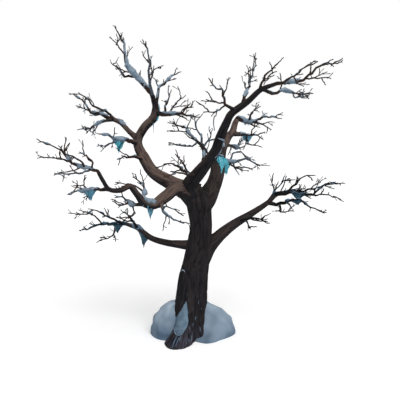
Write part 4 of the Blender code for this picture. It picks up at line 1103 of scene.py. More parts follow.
def join(things, name):
    """Join objects into one and name it."""
    deselect()
    for thing in things:
        thing.select_set(True)
    bpy.context.view_layer.objects.active = things[0]
    if len(things) > 1:
        bpy.ops.object.join()
    thing = bpy.context.object
    thing.name = name
    thing.data.name = name
    return thing


def apply_modifier(thing, kind, **settings):
    """Add a modifier with its settings and apply it."""
    activate(thing)
    bpy.ops.object.modifier_add(type=kind)
    modifier = thing.modifiers[-1]
    for key, value in settings.items():
        setattr(modifier, key, value)
    bpy.ops.object.modifier_apply(modifier=modifier.name)


def fuse(thing, voxel, smoothing):
    """Fuse overlapping closed shapes into one skin, and smooth its joints."""
    apply_modifier(thing, "REMESH", mode="VOXEL", voxel_size=voxel, use_smooth_shade=True)
    apply_modifier(thing, "SMOOTH", factor=0.5, iterations=smoothing)


def coordinates(mesh, what="co"):
    """A mesh's points or normals as an array."""
    flat = np.empty(len(mesh.vertices) * 3, dtype=np.float32)
    mesh.vertices.foreach_get(what, flat)
    return flat.reshape(-1, 3).astype(float)


def move_points(mesh, points):
    """Put a mesh's points at new places."""
    mesh.vertices.foreach_set("co", np.asarray(points, dtype=np.float32).ravel())
    mesh.update()


def settle(mesh, points):
    """Put a mesh's points at new places, none of them below the ground."""
    move_points(mesh, np.stack([points[:, 0], points[:, 1], np.maximum(points[:, 2], 0.0)], axis=1))


def store(mesh, name, values, kind):
    """Keep values on a mesh's points for its material."""
    attribute = mesh.attributes.new(name, kind, "POINT")
    key = "vector" if kind == "FLOAT_VECTOR" else "value"
    attribute.data.foreach_set(key, np.asarray(values, dtype=np.float32).ravel())


def ball(name, segments, rings):
    """A round primitive of radius one, as a start for a shape that is then given its own form."""
    deselect()
    bpy.ops.mesh.primitive_uv_sphere_add(segments=segments, ring_count=rings, radius=1.0)
    thing = bpy.context.object
    thing.name = name
    return thing


def ground_cut(thing):
    """Cut a shape flat at the ground and close the cut."""
    activate(thing)
    bpy.ops.object.mode_set(mode="EDIT")
    bpy.ops.mesh.select_all(action="SELECT")
    bpy.ops.mesh.bisect(plane_co=(0, 0, 0), plane_no=(0, 0, 1), use_fill=True, clear_inner=True)
    bpy.ops.object.mode_set(mode="OBJECT")


def finish_piece(thing, material, replaced):
    """Shade a piece, give it its material, put it on its body, and hide the solid parts that it stands for.
    """
    activate(thing)
    bpy.ops.object.shade_smooth()
    if material is not None:
        thing.data.materials.clear()
        thing.data.materials.append(material)
    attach(thing, BODY)
    if replaced:
        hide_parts(*replaced)
    deselect()


# ---------------------------------------------------------------- bark


class Skeleton:
    """The straight runs of limbs, with frames that don't twist, for points to find their place."""

    def __init__(self, lines, painted_lights):
        self.runs = []
        self.painted_lights = painted_lights
        for owner, line in enumerate(lines):
            side = None
            travelled = 0.0
            for a, b, r, s in line.runs():
                span = b - a
                if span.length < SHORTEST_RUN:
                    continue
                way = span.normalized()
                if side is None:
                    side = way.orthogonal().normalized()
                side = (side - way * side.dot(way)).normalized()
                self.runs.append((owner, a, span, r, s, side, way.cross(side), travelled))
                travelled += span.length

    def place(self, points):
        """Each point's grain coordinates, radius, how clearly it is on one limb, and its share of painted
        light.
        """
        count = len(points)
        best = np.full(count, 1e9)
        second = np.full(count, 1e9)
        owner_of = np.full(count, -1)
        grain = np.zeros((count, 3))
        radius_of = np.zeros(count)
        for owner, a, span, r, s, side, other, travelled in self.runs:
            way = np.array(span)
            away = points - np.array(a)
            share = np.clip(away @ way / (way @ way), 0, 1)
            off = away - share[:, None] * way
            distance = np.linalg.norm(off, axis=1)
            radius = r + (s - r) * share
            key = distance / radius
            nearer = key < best
            same = owner_of == owner
            second = np.where(nearer & ~same, best, second)
            second = np.where(~nearer & ~same & (key < second), key, second)
            unit = off / np.maximum(distance, 1e-9)[:, None]
            x, y = unit @ np.array(side), unit @ np.array(other)
            made = np.stack([x * radius, y * radius, travelled + share * span.length], axis=1)
            grain[nearer] = made[nearer]
            radius_of[nearer] = radius[nearer]
            owner_of[nearer] = owner
            best = np.where(nearer, key, best)
        # Each point's share of painted light, eased from its limb's first share to its own along the limb.
        first, own, reach = np.array(self.painted_lights)[owner_of].T
        along = np.clip(grain[:, 2] / reach, 0, 1)
        wear = first + (own - first) * eased(along)
        return grain, radius_of, np.clip((second - best) / JOINT_WIDTH, 0, 1), wear


def bumps_at(points, width, seed, height):
    """Bumps of a width and a height, which don't follow the grain."""
    return noise_at(points, width, width, seed) * height


def push_out(thing, bumps_of):
    """Push a mesh's points out along their normals by bumps worked out from their places."""
    points = coordinates(thing.data)
    bumps = bumps_of(points)
    settle(thing.data, points + coordinates(thing.data, "normal") * bumps[:, None])


def noise_at(points, across, along, seed):
    """Smooth noise at grain coordinates, drawn out along the grain."""
    scaled = points / np.array((across, across, along)) + seed
    return np.array([noise.noise(Vector(p)) for p in scaled])


def relief(grain, radius, clear):
    """How far the bark stands out or in, and a share that is low in furrows, high on plates."""
    size = np.clip(radius / FULL_RELIEF_RADIUS, THIN_RELIEF, 1.0)
    size = size * (JOINT_RELIEF + (1 - JOINT_RELIEF) * clear)
    furrow = np.abs(noise_at(grain, FURROW_ACROSS, FURROW_ALONG, 3.1))
    furrow = eased(np.clip(furrow / FURROW_SLOPE, 0, 1))
    crack = noise_at(grain, CRACK_ACROSS, CRACK_ALONG, 17.7)
    swell = noise_at(grain, SWELL_ACROSS, SWELL_ALONG, 41.3)
    out = size * (FURROW_DEPTH * (furrow - FURROW_REST) + CRACK_DEPTH * crack + SWELL_DEPTH * swell)
    return out, np.clip(0.62 * furrow + 0.3 * (crack + 0.5) + 0.15 * swell, 0, 1)


@functools.lru_cache(maxsize=None)
def skeleton():
    """The whole tree's limbs, so that the grain runs on from one piece to the next."""
    lines = [plan().lines["trunk"]]
    # Each limb's share of painted light, running from its parent's share to its own over a given length.
    painted_lights = [(0.0, LIMB_PAINTED_LIGHT["trunk"], TRUNK_PAINTED_LIGHT_LENGTH)]
    for name, bough in BOUGHS.items():
        stubs = stem_stubs(name)
        lines += [bark_line(name), *stubs]
        painted_lights += [(LIMB_PAINTED_LIGHT[bough.parent], LIMB_PAINTED_LIGHT[name], PAINTED_LIGHT_LENGTH)]
        painted_lights += [(LIMB_PAINTED_LIGHT[name], LIMB_PAINTED_LIGHT[name], PAINTED_LIGHT_LENGTH)] * len(stubs)
    return Skeleton(lines, painted_lights)


def dress_bark(thing):
    """Raise the bark's relief on a fused shape, and keep its grain and its share of painted light for the
    material.
    """
    mesh = thing.data
    points, normals = coordinates(mesh), coordinates(mesh, "normal")
    grain, radius, clear, wear = skeleton().place(points)
    out, height = relief(grain, radius, clear)
    settle(mesh, points + normals * out[:, None])
    store(mesh, "grain", grain, "FLOAT_VECTOR")
    store(mesh, "height", height, "FLOAT")
    store(mesh, "wear", wear, "FLOAT")


def swollen(line, seed, flare, parent_radius):
    """A limb line with uneven thickness, and a wider base where it leaves its parent."""
    radii = []
    for radius, distance in zip(line.radii, line.lengths()):
        uneven = 1 + SWELLING * noise.noise(Vector((distance * SWELLING_PITCH, seed, 0.5)))
        past = max(0.0, distance - parent_radius)
        widening = flare * math.exp(-past / (FLARE_LENGTH * parent_radius))
        radii.append(radius * (uneven + widening))
    return Line(line.points, radii)


def web_lines():
    """Tubes that fill the armpits between limbs."""
    made = plan()
    webs = []
    for limb, share, other, other_share, thick, thin in WEBS:
        a, b = made.fine[limb].share(share)[0], made.fine[other].share(other_share)[0]
        webs.append(Line([a, (a + b) / 2, b], [thick / 2, (thick + thin) / 4, thin / 2]))
    return webs


def trunk_profile(heading, height, line, hollow=True):
    """A point of the trunk's surface on a heading and at a height."""
    x, y, _ = line_centre(height, line)
    radius = float(np.interp(height, [p.z for p in line.points], line.radii))
    flute = math.cos(FLUTES * math.radians(heading) + FLUTE_TWIST * height)
    total = radius * (1 + FLUTE_DEPTH * flute)
    for root, reach, sharpness in ROOTS:
        ridge = max(0.0, math.cos(math.radians(heading - root))) ** sharpness
        total += reach * ridge * math.exp(-height / ROOT_FALL)
    out = direction(heading, 0)
    if hollow and out.y < 0:
        middle, half = pocket_at(height)
        away = (x + out.x * total - middle) / (half * HOLLOW_MARGIN)
        total -= HOLLOW_DEPTH * max(0.0, 1 - away * away) * min(1.0, half / HOLLOW_FULL_WIDTH)
    return Vector((x, y, height)) + out * total


def pocket_at(height):
    """The pocket's middle across the trunk and its half width at a height."""
    heights = [level[0] for level in POCKET]
    if not heights[0] < height < heights[-1]:
        return 0.0, 0.001
    middle = np.interp(height, heights, [level[1] for level in POCKET])
    return float(middle), float(np.interp(height, heights, [level[2] for level in POCKET]))


def trunk_front(x, height, line):
    """The point on the front of the trunk, without its hollow, at a place across and a height."""
    heading = 270.0
    for _ in range(FRONT_TRIES):
        place = trunk_profile(heading, height, line, False)
        centre = line_centre(height, line)
        reach = max(0.01, (place - centre).length)
        heading = 270 + math.degrees(math.asin(max(-0.98, min(0.98, (x - centre.x) / reach))))
    return trunk_profile(heading, height, line, False)


def line_centre(height, line):
    """The middle of the trunk at a height."""
    heights = [p.z for p in line.points]
    x = float(np.interp(height, heights, [p.x for p in line.points]))
    return Vector((x, float(np.interp(height, heights, [p.y for p in line.points])), height))


def trunk_shape(line):
    """The trunk's fluted, flared shape, from a ball whose rings go to their levels."""
    thing = ball("trunk_start", TRUNK_SEGMENTS, TRUNK_RINGS)
    shoulder = FORK_TOP - SHOULDER_DROP
    top = line.share(1.0)[0]
    points = []
    for vert in thing.data.vertices:
        x, y, z = vert.co
        level = math.acos(max(-1.0, min(1.0, -z))) / math.pi
        heading = math.degrees(math.atan2(y, x))
        if level < TRUNK_CAP:
            points.append(trunk_profile(heading, 0.0, line) * (level / TRUNK_CAP))
        elif level > 1 - TRUNK_CAP:
            rim = trunk_profile(heading, shoulder, line)
            share = (1 - level) / TRUNK_CAP
            centre = Vector((top.x, top.y, shoulder))
            points.append(centre + (rim - centre) * share + UP * (SHOULDER_DROP * (1 - share * share)))
        else:
            share = (level - TRUNK_CAP) / (1 - 2 * TRUNK_CAP)
            points.append(trunk_profile(heading, shoulder * share**TRUNK_LEVEL_POWER, line))
    move_points(thing.data, points)
    merge_doubles(thing)
    return thing


def bark_line(name):
    """A limb's finer line with its swellings, wider where it leaves a limb's side."""
    made = plan()
    bough = BOUGHS[name]
    parent_radius = made.lines[bough.parent].share(bough.at)[2]
    flare = 0.0 if bough.at == 1 else BASE_FLARE
    return swollen(made.fine[name], len(name) * 1.7, flare, parent_radius)


def stem_stubs(parent):
    """The stubs that a bough carries for the stems that leave its side."""
    made = plan()
    stubs = []
    for name in side_limbs(parent, MASSES):
        collar = made.collars[name]
        line = made.lines[name].part(0, min(collar + STUB_LENGTH, made.lines[name].lengths()[-1]))
        stubs.append(swollen(line, STUB_SEED, BASE_FLARE, made.lines[parent].share(MASSES[name].at)[2]))
    return stubs


def bark_of_trunk(props):
    """The trunk with its roots, its fork and the stubs of the boughs that leave it."""
    made = plan()
    shape = trunk_shape(made.lines["trunk"])
    stubs = [bark_line(name).part(0, made.collars[name] + OVERLAP) for name in side_limbs("trunk", BOUGHS)]
    thing = join([shape, tubes("fork", stubs + web_lines(), BARK_ROUND)], "bark_of_trunk_and_fork")
    fuse(thing, props.trunk_voxel, props.smoothing)
    dress_bark(thing)
    ground_cut(thing)
    return thing


def bark_of_boughs(name, boughs, props):
    """A group of boughs with the stubs of the stems on them, fused into one skin."""
    made = plan()
    lines = []
    for bough in boughs:
        line = bark_line(bough)
        if BOUGHS[bough].parent == "trunk":
            line = line.part(made.collars[bough] - OVERLAP, line.lengths()[-1])
            line.radii[0] *= BOUGH_INSET
        lines.append(line)
        lines += stem_stubs(bough)
    thing = tubes(name, lines, BARK_ROUND)
    fuse(thing, props.voxel, props.smoothing)
    dress_bark(thing)
    return thing


# ---------------------------------------------------------------- twigs


def shade_of(name, dice):
    """The plain colour of one spray of a mass: its own, or a frosted one now and then, and on low masses
    darker colours as painted shade.
    """
    low = name in LOW_LIMBS
    if dice.random() < FROSTED.get(name, USUAL_FROST):
        return "glazed_in_painted_shade" if low else "frosted"
    if low:
        return "black_in_painted_shade"
    return "grey" if "back" in name or "rear" in name else "red"


def wood_of_masses(names):
    """Stems and leaders, and twigs, of the named masses, each with its colour's name."""
    masses, _ = crown()
    made = plan()
    stems, twigs = [], []
    for name in names:
        dice = random.Random(MASSES[name].seed + WOOD_SEED)
        leaders, shoots = masses[name]
        stem = made.limbs[name]
        if name in made.collars:
            start = max(0.0, made.collars[name] - STEM_SINK)
            stem = made.lines[name].part(start, made.lines[name].lengths()[-1])
        for line in [stem, *leaders]:
            stems.append((shade_of(name, dice), roughened(line, dice)))
        for line in shoots:
            thin = LOW_TWIG_THIN if name in LOW_LIMBS else TWIG_THIN
            kinked = to_fine_tip(roughened(line, dice, thin))
            twigs.append((shade_of(name, dice), kinked))
    return stems, twigs


def shoots_of_masses(names, props):
    """The finest shoots of the named masses, on their stems' outer parts, leaders and twigs."""
    masses, room = crown()
    made = plan()
    grown = []
    low = Vector(CAD_BOX[0])
    high = Vector(CAD_BOX[1])
    for name in names:
        dice = random.Random(MASSES[name].seed + SHOOT_SEED)
        corner, opposite = (Vector(c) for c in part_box(name))
        margin = Vector((REACH_MARGIN,) * 3)
        near = Vector(max(a, b) for a, b in zip(corner - margin, low))
        far = Vector(min(a, b) for a, b in zip(opposite + margin, high))
        leaders, twigs = masses[name]
        others = room.others(name)
        hosts = [(made.limbs[name], STEM_BARE)]
        hosts += [(leader, LEADER_BARE) for leader in leaders] + [(line, TWIG_BARE) for line in twigs]
        spacing = LOW_SHOOT_SPACING if name in LOW_LIMBS else SHOOT_SPACING
        for host, start in hosts:
            for shoot in shoots_on(host, dice, near, far, props.shoot_length, start, spacing):
                if is_clear(shoot, others):
                    grown.append((shade_of(name, dice), shoot))
    return grown


# ---------------------------------------------------------------- snow and ice


def bank_lines(line, cover, dice):
    """Lanes of a lumpy bank of snow that lies on a limb and thins out to both sides."""
    lanes = []
    whole = line.lengths()[-1]
    width = cover.end - cover.start
    for lane, size in LANES:
        points, radii = [], []
        phase = dice.uniform(0, 50)
        inset = 0.0 if lane == 0 else LANE_INSET
        for step in range(BANK_STEPS + 1):
            s = step / BANK_STEPS
            share = cover.start + width * (inset + (1 - 2 * inset) * s)
            point, way, radius = line.share(min(max(share, 0.0), 1.0))
            full = 0.12 + 0.88 * math.sin(math.pi * s) ** 0.8
            lump = 1 + LUMP_SIZE * noise.noise(Vector((s * width * whole * LUMP_PITCH, phase, 0.3)))
            bulge = cover.size * full * lump
            up = top_of(way)
            side = way.cross(up).normalized()
            centre = point + up * (SNOW_RISE * radius - 0.2 * bulge * (1 + abs(lane)))
            points.append(centre + side * lane * bulge)
            radii.append(bulge * size)
        lanes.append(Line(points, radii))
    return lanes + drips(line, cover, dice)


def drips(line, cover, dice):
    """Short points of snow that hang over the sides of a bank and make its edge ragged."""
    points_of_snow = []
    length = (cover.end - cover.start) * line.lengths()[-1]
    for i in range(max(2, round(length / DRIP_SPACING))):
        share = cover.start + (cover.end - cover.start) * dice.uniform(0.12, 0.88)
        point, _, radius = line.share(share)
        side = direction(270 if i % 2 else 90, 0) * radius * 0.8
        start = point + side + Vector((0, 0, radius * 0.5))
        end = start - Vector((0, 0, radius + cover.size * dice.uniform(0.1, 0.9)))
        radii = [cover.size * 0.3, cover.size * 0.2, 0.004]
        points_of_snow.append(Line([start, (start + end) / 2, end], radii))
    return points_of_snow


def dusting_lines(line, dice, share, size):
    """Thin broken strips of snow along the top of a thin stem."""
    strips = []
    at = dice.uniform(0.02, 0.15)
    while at < 0.9:
        length = dice.uniform(0.06, 0.2)
        if dice.random() < share:
            points, radii = [], []
            for step in range(STRIP_STEPS + 1):
                s = step / STRIP_STEPS
                point, way, radius = line.share(min(1.0, at + length * s))
                points.append(point + top_of(way, 0.9) * radius * 0.75)
                radii.append((radius * 0.75 + size) * (0.35 + 0.65 * math.sin(math.pi * s)))
            strips.append(Line(points, radii))
        at += length + dice.uniform(0.02, 0.12)
    return strips


def skin_line(limb, thickness, path, pointed=False):
    """A thin line that lies on a limb's skin, facing the given headings, swelling or running to a point."""
    line = plan().limbs[limb]
    points = []
    for share, heading in path:
        point, way, radius = line.share(share)
        points.append(point + side_of(way, heading) * (radius * 1.03 + (ICE_STAND if pointed else 0.0)))
    core = smooth(points, None, SKIN_STEPS)
    count = len(core)
    if pointed:
        return Line(core, [thickness / 2 * (1 - i / count) ** 0.8 for i in range(count)])
    swells = [math.sin(math.pi * (i + 0.6) / (count + 0.2)) ** 0.6 for i in range(count)]
    return Line(core, [thickness / 2 * swell for swell in swells])


def sheet_lines(limb, top, tip, first, last, tip_heading, count, thickness):
    """The runs of a sheet of ice, longest in its middle, that draw together towards its point."""
    runs = []
    for i in range(count):
        s = i / (count - 1)
        reach = 0.2 + 0.8 * (1 - abs(2 * s - 1))
        heading = first + (last - first) * s
        end_heading = heading + (tip_heading - heading) * 0.85 * reach
        end = top + (tip - top) * reach
        path = ((top, heading), ((top + end) / 2, (heading + end_heading) / 2), (end, end_heading))
        runs.append(skin_line(limb, thickness, path, True))
    return runs


def drop_line(limb, share, heading, length, thickness):
    """A thin icicle that hangs alone from the side of a limb."""
    point, way, radius = plan().limbs[limb].share(share)
    start = point + side_of(way, heading) * radius * 0.9
    shares = [i / ICE_STEPS for i in range(ICE_STEPS + 1)]
    points = [start - Vector((0, 0, length * s)) for s in shares]
    return Line(points, [max(ICE_END, thickness / 2 * (1 - s) ** 0.6) for s in shares])


def snow_groups():
    """Which covers of snow are bright, and which lie low in shade."""
    solid = (*BOUGH_SNOW.values(), *STEM_SNOW)
    covers = [c._replace(size=c.size * SLIM_BANKS.get(c.limb, 1.0)) for c in solid] + list(MORE_SNOW)
    low = [c for c in covers if c.limb in LOW_LIMBS]
    return [c for c in covers if c not in low], low


def snow_on_limbs(name, covers, hosts, skins, props):
    """Banks of snow with the thin strips near them, fused and softened."""
    made = plan()
    dice = random.Random(len(name))
    lines = []
    for cover in covers:
        lines += bank_lines(made.limbs[cover.limb], cover, dice)
    for host, share, size in hosts:
        lines += dusting_lines(host, dice, share, size)
    lines += [skin_line(*skin) for skin in skins]
    thing = tubes(name, lines, SNOW_ROUND)
    fuse(thing, props.snow_voxel, 1)
    push_out(thing, lambda points: sum(bumps_at(points, *bumps) for bumps in LIMB_BUMPS))
    return thing


def ice_lines(line, cover, dice):
    """A curtain of icicles under a limb, longest in its middle, wide at its root."""
    shards = []
    count = cover.count * SHARDS
    for i in range(count):
        s = (i + 0.5) / count
        share = cover.start + (cover.end - cover.start) * s
        point, _, radius = line.share(share)
        peak = 1 - abs(2 * s - 1)
        length = cover.size * (0.22 + 0.78 * peak**1.3) * dice.uniform(0.8, 1.08)
        half = ICICLE_THICKNESS / 2 * (0.62 + 0.5 * peak)
        down = (Vector((dice.uniform(-0.05, 0.05), dice.uniform(-0.05, 0.05), -1))).normalized()
        points, radii = [], []
        for step in range(ICE_STEPS + 1):
            t = step / ICE_STEPS
            points.append(point + down * (radius * 0.4 + length * t))
            ripple = 1 + RIPPLE * math.sin(t * RIPPLE_PITCH + i)
            radii.append(max(ICE_END, half * (1 - t) ** 0.85 * ripple))
        shards.append(Line(points, radii))
    return shards


def kind_of_ice(limb):
    """Which of the three kinds of ice hangs on a limb; the low kind has darker colours as painted shade."""
    return "low" if limb in LOW_LIMBS else "blue" if limb in BLUE_ICE else "bright"


def ice_on_limbs(name, kind, covers, props):
    """Icicles fused where they hang from one root, single drops, and sheets on the bark."""
    made = plan()
    dice = random.Random(len(name))
    lines = [skin_line(*skin, True) for skin in SKIN_ICE if kind_of_ice(skin[0]) == kind]
    lines += [drop_line(*drop) for drop in DROPS if kind_of_ice(drop[0]) == kind]
    for sheet in SHEETS:
        if kind_of_ice(sheet[0]) == kind:
            lines += sheet_lines(*sheet)
    for cover in covers:
        lines += ice_lines(made.limbs[cover.limb], cover, dice)
    thing = tubes(name, lines, SNOW_ROUND)
    fuse(thing, props.ice_voxel, 1)
    return thing


# ---------------------------------------------------------------- snow round the foot


def mound_point(heading, rise):
    """A point of the mound's surface on a heading, at a rise in radians from its rim to its top."""
    headings, reaches, shares = zip(*MOUND_RIM)
    reach = float(np.interp(heading, headings, reaches, period=360))
    share = float(np.interp(heading, headings, shares, period=360))
    to_right = math.cos(math.radians(heading))
    out = reach * math.cos(rise) ** (MOUND_SLOPE + MOUND_SLOPE_SWAY * to_right)
    up = MOUND_HEIGHT * share * math.sin(rise) ** (MOUND_SHOULDER + MOUND_SHOULDER_SWAY * to_right)
    return direction(heading, 0) * out + Vector((0, 0, up))


def drift_heaps(points):
    """How far the drift's soft heaps stand out, which fade out at its rim."""
    heaps = np.abs(noise_at(points, DRIFT_HEAPS, DRIFT_HEAPS, 5.3))
    lumps = DRIFT_HEAP_RISE * (0.25 - heaps) + bumps_at(points, *DRIFT_BUMPS)
    return lumps * np.clip(points[:, 2] / DRIFT_FADE, 0, 1)


def drift_round_foot():
    """The drift heaped round the foot, from a ball spread to the mound's form, with soft lumps."""
    thing = ball("drifted_snow_round_foot", 160, 72)
    points = []
    for vert in thing.data.vertices:
        x, y, z = vert.co
        heading, rise = math.degrees(math.atan2(y, x)), math.asin(max(-1.0, min(1.0, z)))
        place = mound_point(heading % 360, abs(rise))
        if z < 0:
            place = Vector((place.x, place.y, 0)) * math.cos(rise * 0.999)
        points.append(place)
    move_points(thing.data, points)
    merge_doubles(thing)
    apply_modifier(thing, "SMOOTH", factor=0.5, iterations=3)
    push_out(thing, drift_heaps)
    return thing


def pocket_of_snow(hollow_snow_in_painted_shade, frosty):
    """The drop of snow in the hollow of the front root, with the frost lines round it."""
    line = plan().lines["trunk"]
    thing = ball("snow_in_root_hollow", 48, 40)
    points = []
    low, high = POCKET[0][0], POCKET[-1][0]
    for vert in thing.data.vertices:
        x, y, z = vert.co
        height = low + (high - low) * (z + 1) / 2
        middle, half = pocket_at(min(high - 0.001, max(low + 0.001, height)))
        round_share = max(0.001, math.sqrt(max(0.0, 1 - z * z)))
        across = middle + half * x / round_share
        place = trunk_front(across, height, line)
        swell = POCKET_RISE if y < 0 else POCKET_DEPTH
        place.y += POCKET_SINK + swell * y / round_share * min(1.0, half / 0.1)
        points.append(place)
    move_points(thing.data, points)
    merge_doubles(thing)
    streaks = []
    for thickness, path in FROST_LINES:
        core = smooth([trunk_front(x, height, line) for x, height in path], None, SKIN_STEPS)
        swells = [math.sin(math.pi * (i + 0.5) / len(core)) for i in range(len(core))]
        streaks.append(Line(core, [thickness * swell for swell in swells]))
    lines = tubes("frost_lines", streaks, SNOW_ROUND)
    for part, material in ((thing, hollow_snow_in_painted_shade), (lines, frosty)):
        part.data.materials.append(material)
    thing = join([thing, lines], "snow_in_root_hollow")
    push_out(thing, lambda points: bumps_at(points, *HOLLOW_BUMPS))
    return thing


# ---------------------------------------------------------------- materials


def linear(text):
    """An sRGB hex colour as linear light."""
    shares = [int(text[i : i + 2], 16) / 255 for i in (1, 3, 5)]
    return tuple(s / 12.92 if s <= 0.04045 else ((s + 0.055) / 1.055) ** 2.4 for s in shares) + (1.0,)


def add_node(material, kind, settings=None, inputs=None, out=0):
    """Add a node with its settings, link or set its inputs, and give back one of its outputs."""
    tree = material.node_tree
    made = tree.nodes.new("ShaderNode" + kind)
    for key, value in (settings or {}).items():
        setattr(made, key, value)
    for key, value in (inputs or {}).items():
        if isinstance(value, bpy.types.NodeSocket):
            tree.links.new(value, made.inputs[key])
        else:
            made.inputs[key].default_value = value
    return made.outputs[out]


def new_material(name, **values):
    """A material with its shader's constants set, and what adds a node to it."""
    material = bpy.data.materials.new(name)
    material.use_nodes = True
    shader = material.node_tree.nodes["Principled BSDF"]
    for key, value in values.items():
        shader.inputs[key.replace("_", " ")].default_value = value
    return material, functools.partial(add_node, material)


def wire(material, **outs):
    """Link outputs to the shader's sockets, and give back the material."""
    tree = material.node_tree
    for key, out in outs.items():
        tree.links.new(out, tree.nodes["Principled BSDF"].inputs[key.replace("_", " ")])
    return material


def bark_material(props):
    """Furrowed bark with painted light and shade: brown, with rubbed plates, on the upper sides of the limbs
    given painted light, painted nearly black as shade on its undersides and towards the foot, and nearly
    black in its furrows; frost flecks it near the foot.

    The fibres of such bark are about 12 mm wide and 160 mm long, and its stains 100 mm wide.
    """
    material, add = new_material("furrowed_bark_with_painted_light", IOR=1.45, Specular_IOR_Level=0.12)
    grain = add("Attribute", {"attribute_name": "grain"}, out="Vector")
    height = add("Attribute", {"attribute_name": "height"}, out="Fac")
    wear = add("Attribute", {"attribute_name": "wear"}, out="Fac")
    place = add("TexCoord", out="Object")
    up = add("SeparateXYZ", None, {0: place}, "Z")
    normal = add("NewGeometry", out="Normal")
    fine = add("Mapping", None, {"Vector": grain, "Scale": (83.0, 83.0, 6.2)})
    fibres = add("TexNoise", None, {"Vector": fine, "Scale": 1.0, "Detail": 4.0, "Roughness": 0.6})
    wide = add("Mapping", None, {"Vector": grain, "Scale": (9.0, 9.0, 2.0)})
    stains = add("TexNoise", None, {"Vector": wide, "Scale": 1.0, "Detail": 3.0})
    # How much a point stands out as a rubbed plate, and how deep in a furrow it lies.
    fibre_part = add("Math", TIMES, {0: fibres, 1: 0.55})
    standing = add("Math", SHARE_OF, {0: height, 1: 0.55, 2: fibre_part})
    rubbed = add("MapRange", SOFT, {"Value": standing, "From Min": 0.42, "From Max": 0.8})
    sunk = add("MapRange", SOFT, {"Value": standing, "From Min": 0.46, "From Max": 0.2})
    # Painted light and shade: faces turned to the painted light's side are brown and undersides nearly black,
    # more so on limbs with more painted light; stains are mixed in.
    facing = add("VectorMath", {"operation": "DOT_PRODUCT"}, {0: normal, 1: PAINTED_LIGHT_SIDE}, "Value")
    lit = add("MapRange", SOFT, {"Value": facing, "From Min": -0.22, "From Max": 0.58})
    spread = add("Math", {"operation": "MULTIPLY_ADD"}, {0: stains, 1: 0.5, 2: wear})
    high = add("MapRange", None, {"Value": spread, "From Min": 0.2, "From Max": 1.2})
    painted_light_and_stains = add("Math", TIMES, {0: lit, 1: high})
    # Bark and plates run from their colours in painted shade to their colours in painted light.
    plain = add("Mix", BLEND, {0: painted_light_and_stains, 6: linear(props.bark_in_painted_shade), 7: linear(props.bark)}, 2)
    plate_in_painted_light = add("Mix", BLEND, {0: painted_light_and_stains, 6: linear(props.plate_in_painted_shade), 7: linear(props.plate_in_painted_light)}, 2)
    worn = add("Mix", BLEND, {0: rubbed, 6: plain, 7: plate_in_painted_light}, 2)
    cracked = add("Mix", BLEND, {0: sunk, 6: worn, 7: linear(props.furrow)}, 2)
    # A grey film on the tops of the roots' toes.
    upward = add("SeparateXYZ", None, {0: normal}, "Z")
    flat = add("MapRange", SOFT, {"Value": upward, "From Min": 0.1, "From Max": 0.6})
    toes = add("MapRange", SOFT, {"Value": up, "From Min": 0.5, "From Max": 0.15})
    streaks = add("MapRange", SOFT, {"Value": fibres, "From Min": 0.42, "From Max": 0.6})
    dusty = add("Math", TIMES, {0: flat, 1: streaks})
    film = add("Math", TIMES, {0: dusty, 1: toes})
    filmed = add("Mix", BLEND, {0: film, 6: cracked, 7: linear(props.toe)}, 2)
    # Frost in short upright strokes, drawn 30 mm wide so that they show, only near the ground.
    strokes = add("Mapping", None, {"Vector": grain, "Scale": (33.0, 33.0, 6.0)})
    flecks = add("TexNoise", None, {"Vector": strokes, "Scale": 1.0, "Detail": 2.0})
    fleck = add("MapRange", SOFT, {"Value": flecks, "From Min": 0.635, "From Max": 0.73})
    near = add("MapRange", SOFT, {"Value": up, "From Min": 1.15, "From Max": 0.45})
    frost = add("Math", TIMES, {0: fleck, 1: near})
    frosted = add("Mix", BLEND, {0: frost, 6: filmed, 7: linear(props.frost)}, 2)
    bump = add("Bump", None, {"Strength": 0.7, "Distance": 0.006, "Height": fibres})
    rough = add("Math", SHARE_OF, {0: fibres, 1: 0.25, 2: 0.7})
    return wire(material, Base_Color=frosted, Normal=bump, Roughness=rough)


def twig_material(name, colour):
    """Smooth young bark of thin shoots, one plain colour to a spray, with pores 6 mm apart."""
    material, add = new_material(name, Base_Color=linear(colour), IOR=1.45, Specular_IOR_Level=0.15)
    place = add("TexCoord", out="Object")
    pores = add("TexNoise", None, {"Vector": place, "Scale": 160.0, "Detail": 3.0})
    bump = add("Bump", None, {"Strength": 0.5, "Distance": 0.002, "Height": pores})
    rough = add("Math", {"operation": "MULTIPLY_ADD"}, {0: pores, 1: 0.3, 2: 0.55})
    return wire(material, Normal=bump, Roughness=rough)


